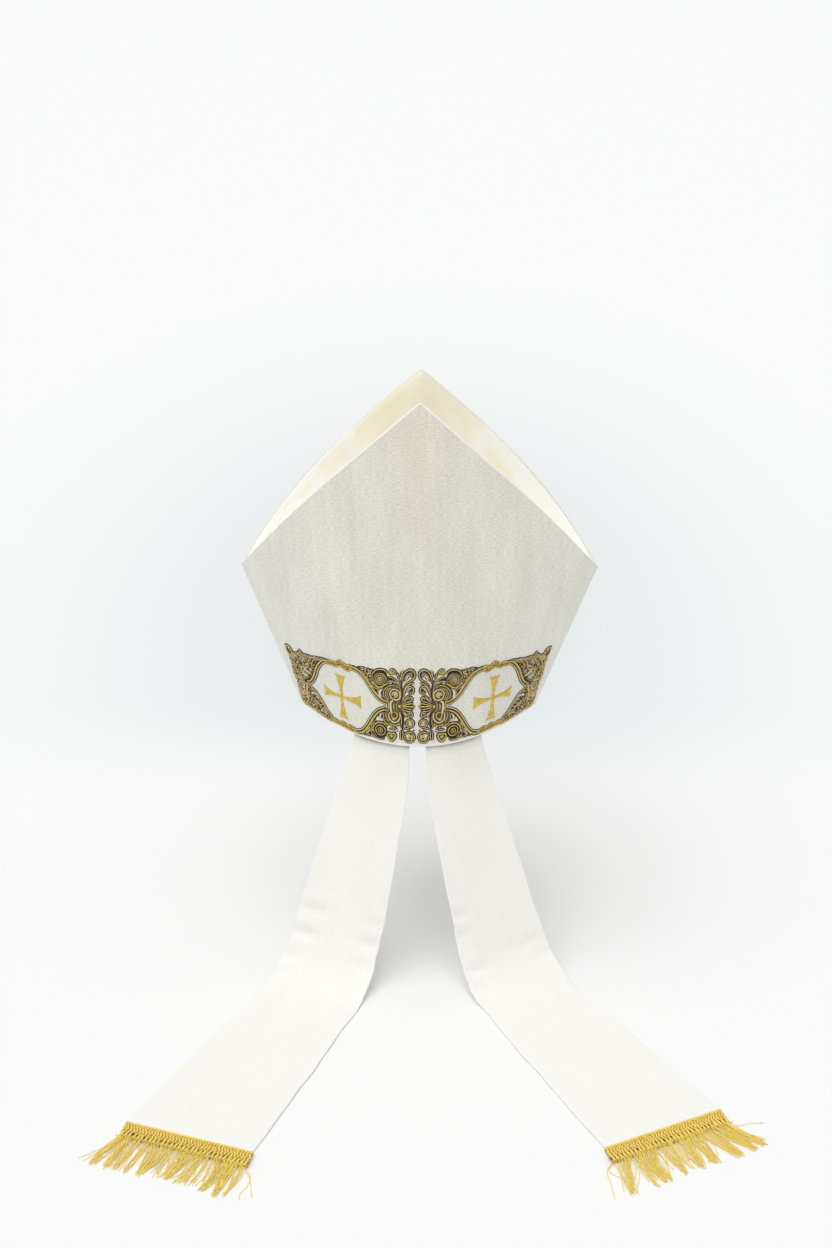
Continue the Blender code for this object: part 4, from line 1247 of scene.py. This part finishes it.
# ---- materials ----
class Look:
    """A new material; its nodes take plain values or other nodes' outputs."""

    def __init__(self, name, **values):
        self.material = bpy.data.materials.new(name)
        self.material.use_nodes = True
        self.tree = self.material.node_tree
        self.shader = self.tree.nodes["Principled BSDF"]
        self.fill(self.shader, values)

    def fill(self, node, values):
        for name, value in values.items():
            if isinstance(value, bpy.types.NodeSocket):
                self.tree.links.new(value, node.inputs[name])
            else:
                node.inputs[name].default_value = value

    def finish(self, **values):
        """The shader's inputs, with _ for each space in a name."""
        self.fill(self.shader, {name.replace("_", " "): value for name, value in values.items()})
        return self.material

    def add(self, kind, output, inputs, **settings):
        """A new node's output."""
        node = setup(self.tree.nodes.new("ShaderNode" + kind), **settings)
        self.fill(node, inputs)
        return node.outputs[output]

    def cloth(self):
        """The cloth's own flat coordinates, in metres."""
        return self.add("UVMap", "UV", {}, uv_map="UVMap")

    def along(self, axis):
        return self.add("SeparateXYZ", axis, {"Vector": self.cloth()})

    def noise(self, across, up, detail=2.0, roughness=0.5):
        """Noise on the cloth, in repeats for each metre."""
        place = self.add("Mapping", "Vector", {"Vector": self.cloth(), "Scale": (across, up, 1.0)})
        return self.add("TexNoise", "Fac", {"Vector": place, "Scale": 1.0, "Detail": detail,
                                            "Roughness": roughness})

    def weave(self, pitch, direction):
        """Even ridges across or along the cloth, pitch in metres."""
        # one repeat of the texture is a twentieth of a turn long
        inputs = {"Vector": self.cloth(), "Scale": 2 * math.pi / 20 / pitch,
                  "Distortion": 1.2, "Detail": 1.0, "Detail Scale": 0.3}
        return self.add("TexWave", "Fac", inputs, bands_direction=direction)

    def crossed(self, warp, weft):
        """Ridges both ways, as a plain weave has them."""
        return self.math("ADD", self.weave(warp, "X"), self.weave(weft, "Y"))

    def math(self, kind, first, second):
        return self.add("Math", "Value", {0: first, 1: second}, operation=kind)

    def total(self, *terms):
        """The sum of several values, each given with its weight."""
        parts = [self.math("MULTIPLY", value, weight) for value, weight in terms]
        total = parts[0]
        for part in parts[1:]:
            total = self.math("ADD", total, part)
        return total

    def tinted(self, first, second):
        """Two colours multiplied; 6 and 7 are the mix node's sockets for colours."""
        return self.add("Mix", 2, {0: 1.0, 6: first, 7: second}, data_type="RGBA",
                        blend_type="MULTIPLY")

    def ramp(self, factor, *stops):
        """A colour ramp; stops are (position, (red, green, blue))."""
        node = self.tree.nodes.new("ShaderNodeValToRGB")
        elements = node.color_ramp.elements
        while len(elements) < len(stops):
            elements.new(0.5)
        for element, (position, colour) in zip(elements, stops):
            setup(element, position=position, color=(*colour, 1.0))
        self.fill(node, {"Fac": factor})
        return node.outputs["Color"]

    def bump(self, height, strength, distance, **below):
        return self.add("Bump", "Normal", {"Height": height, "Strength": strength,
                                           "Distance": distance, **below})

    def from_middle(self, reach):
        """From 0 at the cloth's centre line to 1 at the reach."""
        return self.math("DIVIDE", self.math("ABSOLUTE", self.along("X"), 0.0), reach)


WHITE = (1.0, 1.0, 1.0)


def under_rim(look, clouds):
    """The soft shadow painted on a lappet's first millimetres below the rim."""
    uneven = look.math("MULTIPLY", look.math("SUBTRACT", clouds, 0.5), 0.008)
    share = look.math("DIVIDE", look.math("ADD", look.along("Y"), uneven), 0.011)
    return look.ramp(share, (0.10, (0.36, 0.36, 0.33)), (0.25, (0.70, 0.71, 0.68)),
                     (0.45, (0.92, 0.93, 0.91)), (1.0, WHITE))


def make_crepe(name, warm, cool, ripple_strength, ripple_shade, reach, climb, painted_rim_shadow=False):
    """Ivory crepe: a fine weave, short crinkles across it and faint upright clouds.
    Its painted light cools with the reach from the middle, less so the further it has climbed."""
    look = Look(name, Roughness=0.82)
    ripples = look.noise(300, 1150, 3.0, 0.65)
    streaks = look.noise(160, 9)
    clouds = look.noise(30, 11, 2.0, 0.55)
    tone = look.total((ripples, 0.7), (streaks, 0.1), (clouds, 0.2))
    # painted light: warmest on the centre line and higher up, cooler towards the sides
    risen = look.math("MULTIPLY", look.along("Y"), climb)
    painted_warmth = look.math("SUBTRACT", look.from_middle(reach), risen)
    painted_warmth = look.math("ADD", painted_warmth, look.math("MULTIPLY", clouds, 0.25))
    tint = look.ramp(look.math("ADD", painted_warmth, 0.42), (0.0, warm), (1.0, cool))
    # the crinkles' shade is painted into the colour, along with the streaks' and clouds' own tone
    colour = look.tinted(tint, look.ramp(tone, (0.36, (ripple_shade,) * 3), (0.62, WHITE)))
    # painted shadow where the lappet comes out from under the rim
    if painted_rim_shadow:
        colour = look.tinted(colour, under_rim(look, clouds))
    normal = look.bump(look.crossed(0.00055, 0.00062), 0.35, 0.00012)
    normal = look.bump(ripples, ripple_strength, 0.0007, Normal=normal)
    return look.finish(Base_Color=colour, Normal=normal, Sheen_Weight=0.25, Sheen_Roughness=0.5,
                       Specular_IOR_Level=0.3)


def make_satin(name):
    """Cream satin, blotchy, and with painted light paler towards the shoulders."""
    look = Look(name, Roughness=0.40)
    # painted light: from_middle lightens the satin towards the shoulders
    tone = look.total((look.from_middle(0.155), 0.65), (look.noise(34, 30), 1.3))
    colour = look.ramp(tone, (0.50, (0.92, 0.87, 0.66)), (0.85, (0.97, 0.93, 0.76)),
                       (1.0, (1.0, 0.99, 0.94)))
    normal = look.bump(look.weave(0.00035, "X"), 0.15, 0.00008)
    normal = look.bump(look.noise(60, 34), 0.6, 0.0025, Normal=normal)
    return look.finish(Base_Color=colour, Normal=normal, Sheen_Weight=0.3)


def make_plain_cloth(name, colour, sheen=0.0):
    """A fine even weave in one colour."""
    look = Look(name, Roughness=0.85)
    darker = tuple(0.9 * c for c in colour)
    shades = look.ramp(look.noise(180, 180, 3.0, 0.6), (0.3, darker), (0.7, colour))
    normal = look.bump(look.crossed(0.0005, 0.0005), 0.3, 0.0001)
    return look.finish(Base_Color=shades, Normal=normal, Sheen_Weight=sheen)


def make_thread(name, light, shade, metallic, roughness, pitch=0.00042, patch=420,
                span=(0.32, 0.60)):
    """Metal thread: stitches laid side by side across the stroke, with uneven painted shine."""
    look = Look(name, Roughness=roughness, Metallic=metallic)
    stitches = look.weave(pitch, "DIAGONAL")
    tone = look.total((look.noise(patch, patch, 2.0, 0.6), 0.6), (stitches, 0.4))
    # painted highlight and shade: patches and stitch ridges turn from the shade colour to the light
    # one
    colour = look.ramp(tone, (span[0], shade), (span[1], light))
    return look.finish(Base_Color=colour, Normal=look.bump(stitches, 0.6, 0.00015))


# Each thread's painted light and painted shade colour, how metallic and how rough it is,
# and where they differ, its stitches' pitch, the patches in a metre and where it turns dark.
THREAD_LOOKS = {
    # the ground's look also colours the painted shadow beside the threads
    "ground": ("dark_ground", (0.040, 0.026, 0.014), (0.012, 0.008, 0.006), 0.0, 0.75),
    "bronze": ("bronze_ground", (0.20, 0.13, 0.035), (0.06, 0.038, 0.012), 0.3, 0.5),
    "dark": ("dark_thread", (0.050, 0.040, 0.032), (0.014, 0.011, 0.010), 0.2, 0.5),
    "antique": ("antique_gold", (1.0, 0.79, 0.35), (0.12, 0.075, 0.018), 0.4, 0.34,
                0.00042, 420, (0.40, 0.54)),
    "gold": ("bright_gold", (1.0, 0.76, 0.20), (0.24, 0.15, 0.02), 0.45, 0.34,
             0.00042, 420, (0.38, 0.54)),
    "cream": ("cream_gold", (1.0, 0.90, 0.60), (0.58, 0.45, 0.19), 0.3, 0.36),
    "silver": ("silver_thread", (0.95, 0.96, 0.94), (0.56, 0.57, 0.56), 0.25, 0.4),
    "cross": ("satin_stitch_gold", (1.0, 0.74, 0.13), (0.22, 0.125, 0.01), 0.35, 0.34,
              0.0008, 300, (0.38, 0.54)),
    "braid": ("braid_gold", (1.0, 0.88, 0.25), (0.95, 0.59, 0.06), 0.1, 0.40, 0.0006),
    "backing_shade": ("braid_shadow", (0.74, 0.50, 0.12), (0.42, 0.25, 0.05), 0.1, 0.6),
    "holes": ("braid_holes", (0.16, 0.085, 0.02), (0.07, 0.035, 0.01), 0.0, 0.7),
    "strand": ("fringe_gold", (1.0, 0.87, 0.21), (1.0, 0.63, 0.045), 0.0, 0.42, 0.0006, 200),
}


def make_looks():
    looks = {
        "panel": make_crepe("ivory_crepe", (0.935, 0.905, 0.75), (0.93, 0.935, 0.86),
                            ripple_strength=0.6, ripple_shade=0.72, reach=0.19, climb=1.83),
        "lining": make_plain_cloth("inner_cloth", (0.80, 0.77, 0.66)),
        "satin": make_satin("cream_satin"),
        "fold": make_plain_cloth("folded_edge", (1.0, 0.99, 0.93), sheen=0.5),
        "binding": make_plain_cloth("rim_binding", (0.93, 0.93, 0.91)),
        "lappet": make_crepe("lappet_crepe", (0.975, 0.965, 0.895), (0.98, 0.975, 0.935),
                             ripple_strength=0.25, ripple_shade=0.93, reach=0.08, climb=0.0,
                             painted_rim_shadow=True),
    }
    looks.update((thread, make_thread(*row)) for thread, row in THREAD_LOOKS.items())
    return looks


# ---- the studio ----
CAMERA_PLACE = (0.01307, -2.10652, 1.01432)
CAMERA_YAW = -0.00748
CAMERA_PITCH = 0.41841
CAMERA_ROLL = -0.00632
CAMERA_LENS = 75.0

FLOOR_REACH = 60.0
# A wide pool of painted shade behind the hat, where the paper sweep looks greyer.
SHADE_POOL_MIDDLE = 0.64
SHADE_POOL_SIZE = (0.72, 1.45)
SHADE_POOL_FRONT = (0.16, 0.42)

SKY_STRENGTH = 0.62
SUN_ENERGY = 1.35
SUN_ANGLE = math.radians(60)
SUN_PLACE = (-0.22, -0.18, 1.0)


def make_camera():
    data = setup(bpy.data.cameras.new("camera"), lens=CAMERA_LENS, sensor_width=36.0)
    camera = new_object("camera", data)
    camera.matrix_world = (Matrix.Translation(CAMERA_PLACE) @ Matrix.Rotation(-CAMERA_YAW, 4, "Z")
                           @ Matrix.Rotation(math.pi / 2 - CAMERA_PITCH, 4, "X")
                           @ Matrix.Rotation(-CAMERA_ROLL, 4, "Z"))
    bpy.context.scene.camera = camera


def make_floor():
    points = [(x * FLOOR_REACH, y * FLOOR_REACH, TABLE_HEIGHT - 0.0001)
              for x, y in ((-1, -1), (1, -1), (1, 1), (-1, 1))]
    look = Look("studio_floor", Roughness=0.9)
    place = look.add("TexCoord", "Object", {})
    wide, deep = SHADE_POOL_SIZE
    shade_pool = look.add("Mapping", "Vector", {"Vector": place, "Scale": (1 / wide, 1 / deep, 0.0),
                                          "Location": (0.0, -SHADE_POOL_MIDDLE / deep, 0.0)})
    fade = look.add("TexGradient", "Fac", {"Vector": shade_pool}, gradient_type="QUADRATIC_SPHERE")
    back = look.add("SeparateXYZ", "Y", {"Vector": place})
    front = look.add("MapRange", "Result", {"Value": back, "From Min": SHADE_POOL_FRONT[0],
                                            "From Max": SHADE_POOL_FRONT[1]},
                     interpolation_type="SMOOTHSTEP")
    # painted shade: the floor greys and cools inside the pool
    painted_floor_shade = look.ramp(look.math("MULTIPLY", fade, front), (0.0, (0.93, 0.932, 0.932)),
                     (1.0, (0.66, 0.72, 0.73)))
    material = look.finish(Base_Color=painted_floor_shade, Specular_IOR_Level=0.1)
    mesh_object("studio_floor", points, [(0, 1, 2, 3)], [material])


def make_lights():
    world = bpy.data.worlds.new("studio")
    world.use_nodes = True
    sky = world.node_tree.nodes["Background"]
    sky.inputs["Color"].default_value = (1.0, 1.0, 1.0, 1.0)
    sky.inputs["Strength"].default_value = SKY_STRENGTH
    bpy.context.scene.world = world
    data = setup(bpy.data.lights.new("overhead", "SUN"), energy=SUN_ENERGY, angle=SUN_ANGLE)
    setup(new_object("overhead", data), rotation_mode="QUATERNION",
          rotation_quaternion=Vector(SUN_PLACE).to_track_quat("Z", "Y"))


# ---- the whole scene ----
def main():
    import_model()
    make_camera()
    make_floor()
    make_lights()
    bpy.context.scene.view_settings.view_transform = "Standard"
    looks = make_looks()
    fold = looks["fold"]

    for face, side in (("back", -1), ("front", 1)):
        panel = make_panel(f"panel_cloth_{face}", side, [looks["panel"], looks["lining"], fold])
        dress(panel, "panel_cloth", f"{face}_panel")
        dress(make_binding(f"rim_binding_{face}", side, looks["binding"]), "lappet_cloth")
        dress(make_edge_fold(f"edge_fold_{face}", side, fold), "panel_cloth")
        dress(make_understitch(f"understitch_{face}", side, fold), "lining_satin")
        for word, hand in (("left", -1), ("right", 1)):
            make_band_half(face, side, word, hand, looks)
            make_cross(face, side, word, hand, looks["cross"])
    dress(make_tacks(fold), "panel_cloth")
    lining = dress(make_lining(looks["satin"]), "lining_satin", "gusset_lining")
    for name, row in LAPPETS.items():
        lappet = make_lappet(name, row, looks["lappet"])
        trim = make_braid(name, row, looks)
        trim.append(make_fringe(name, row, looks["strand"]))


main()
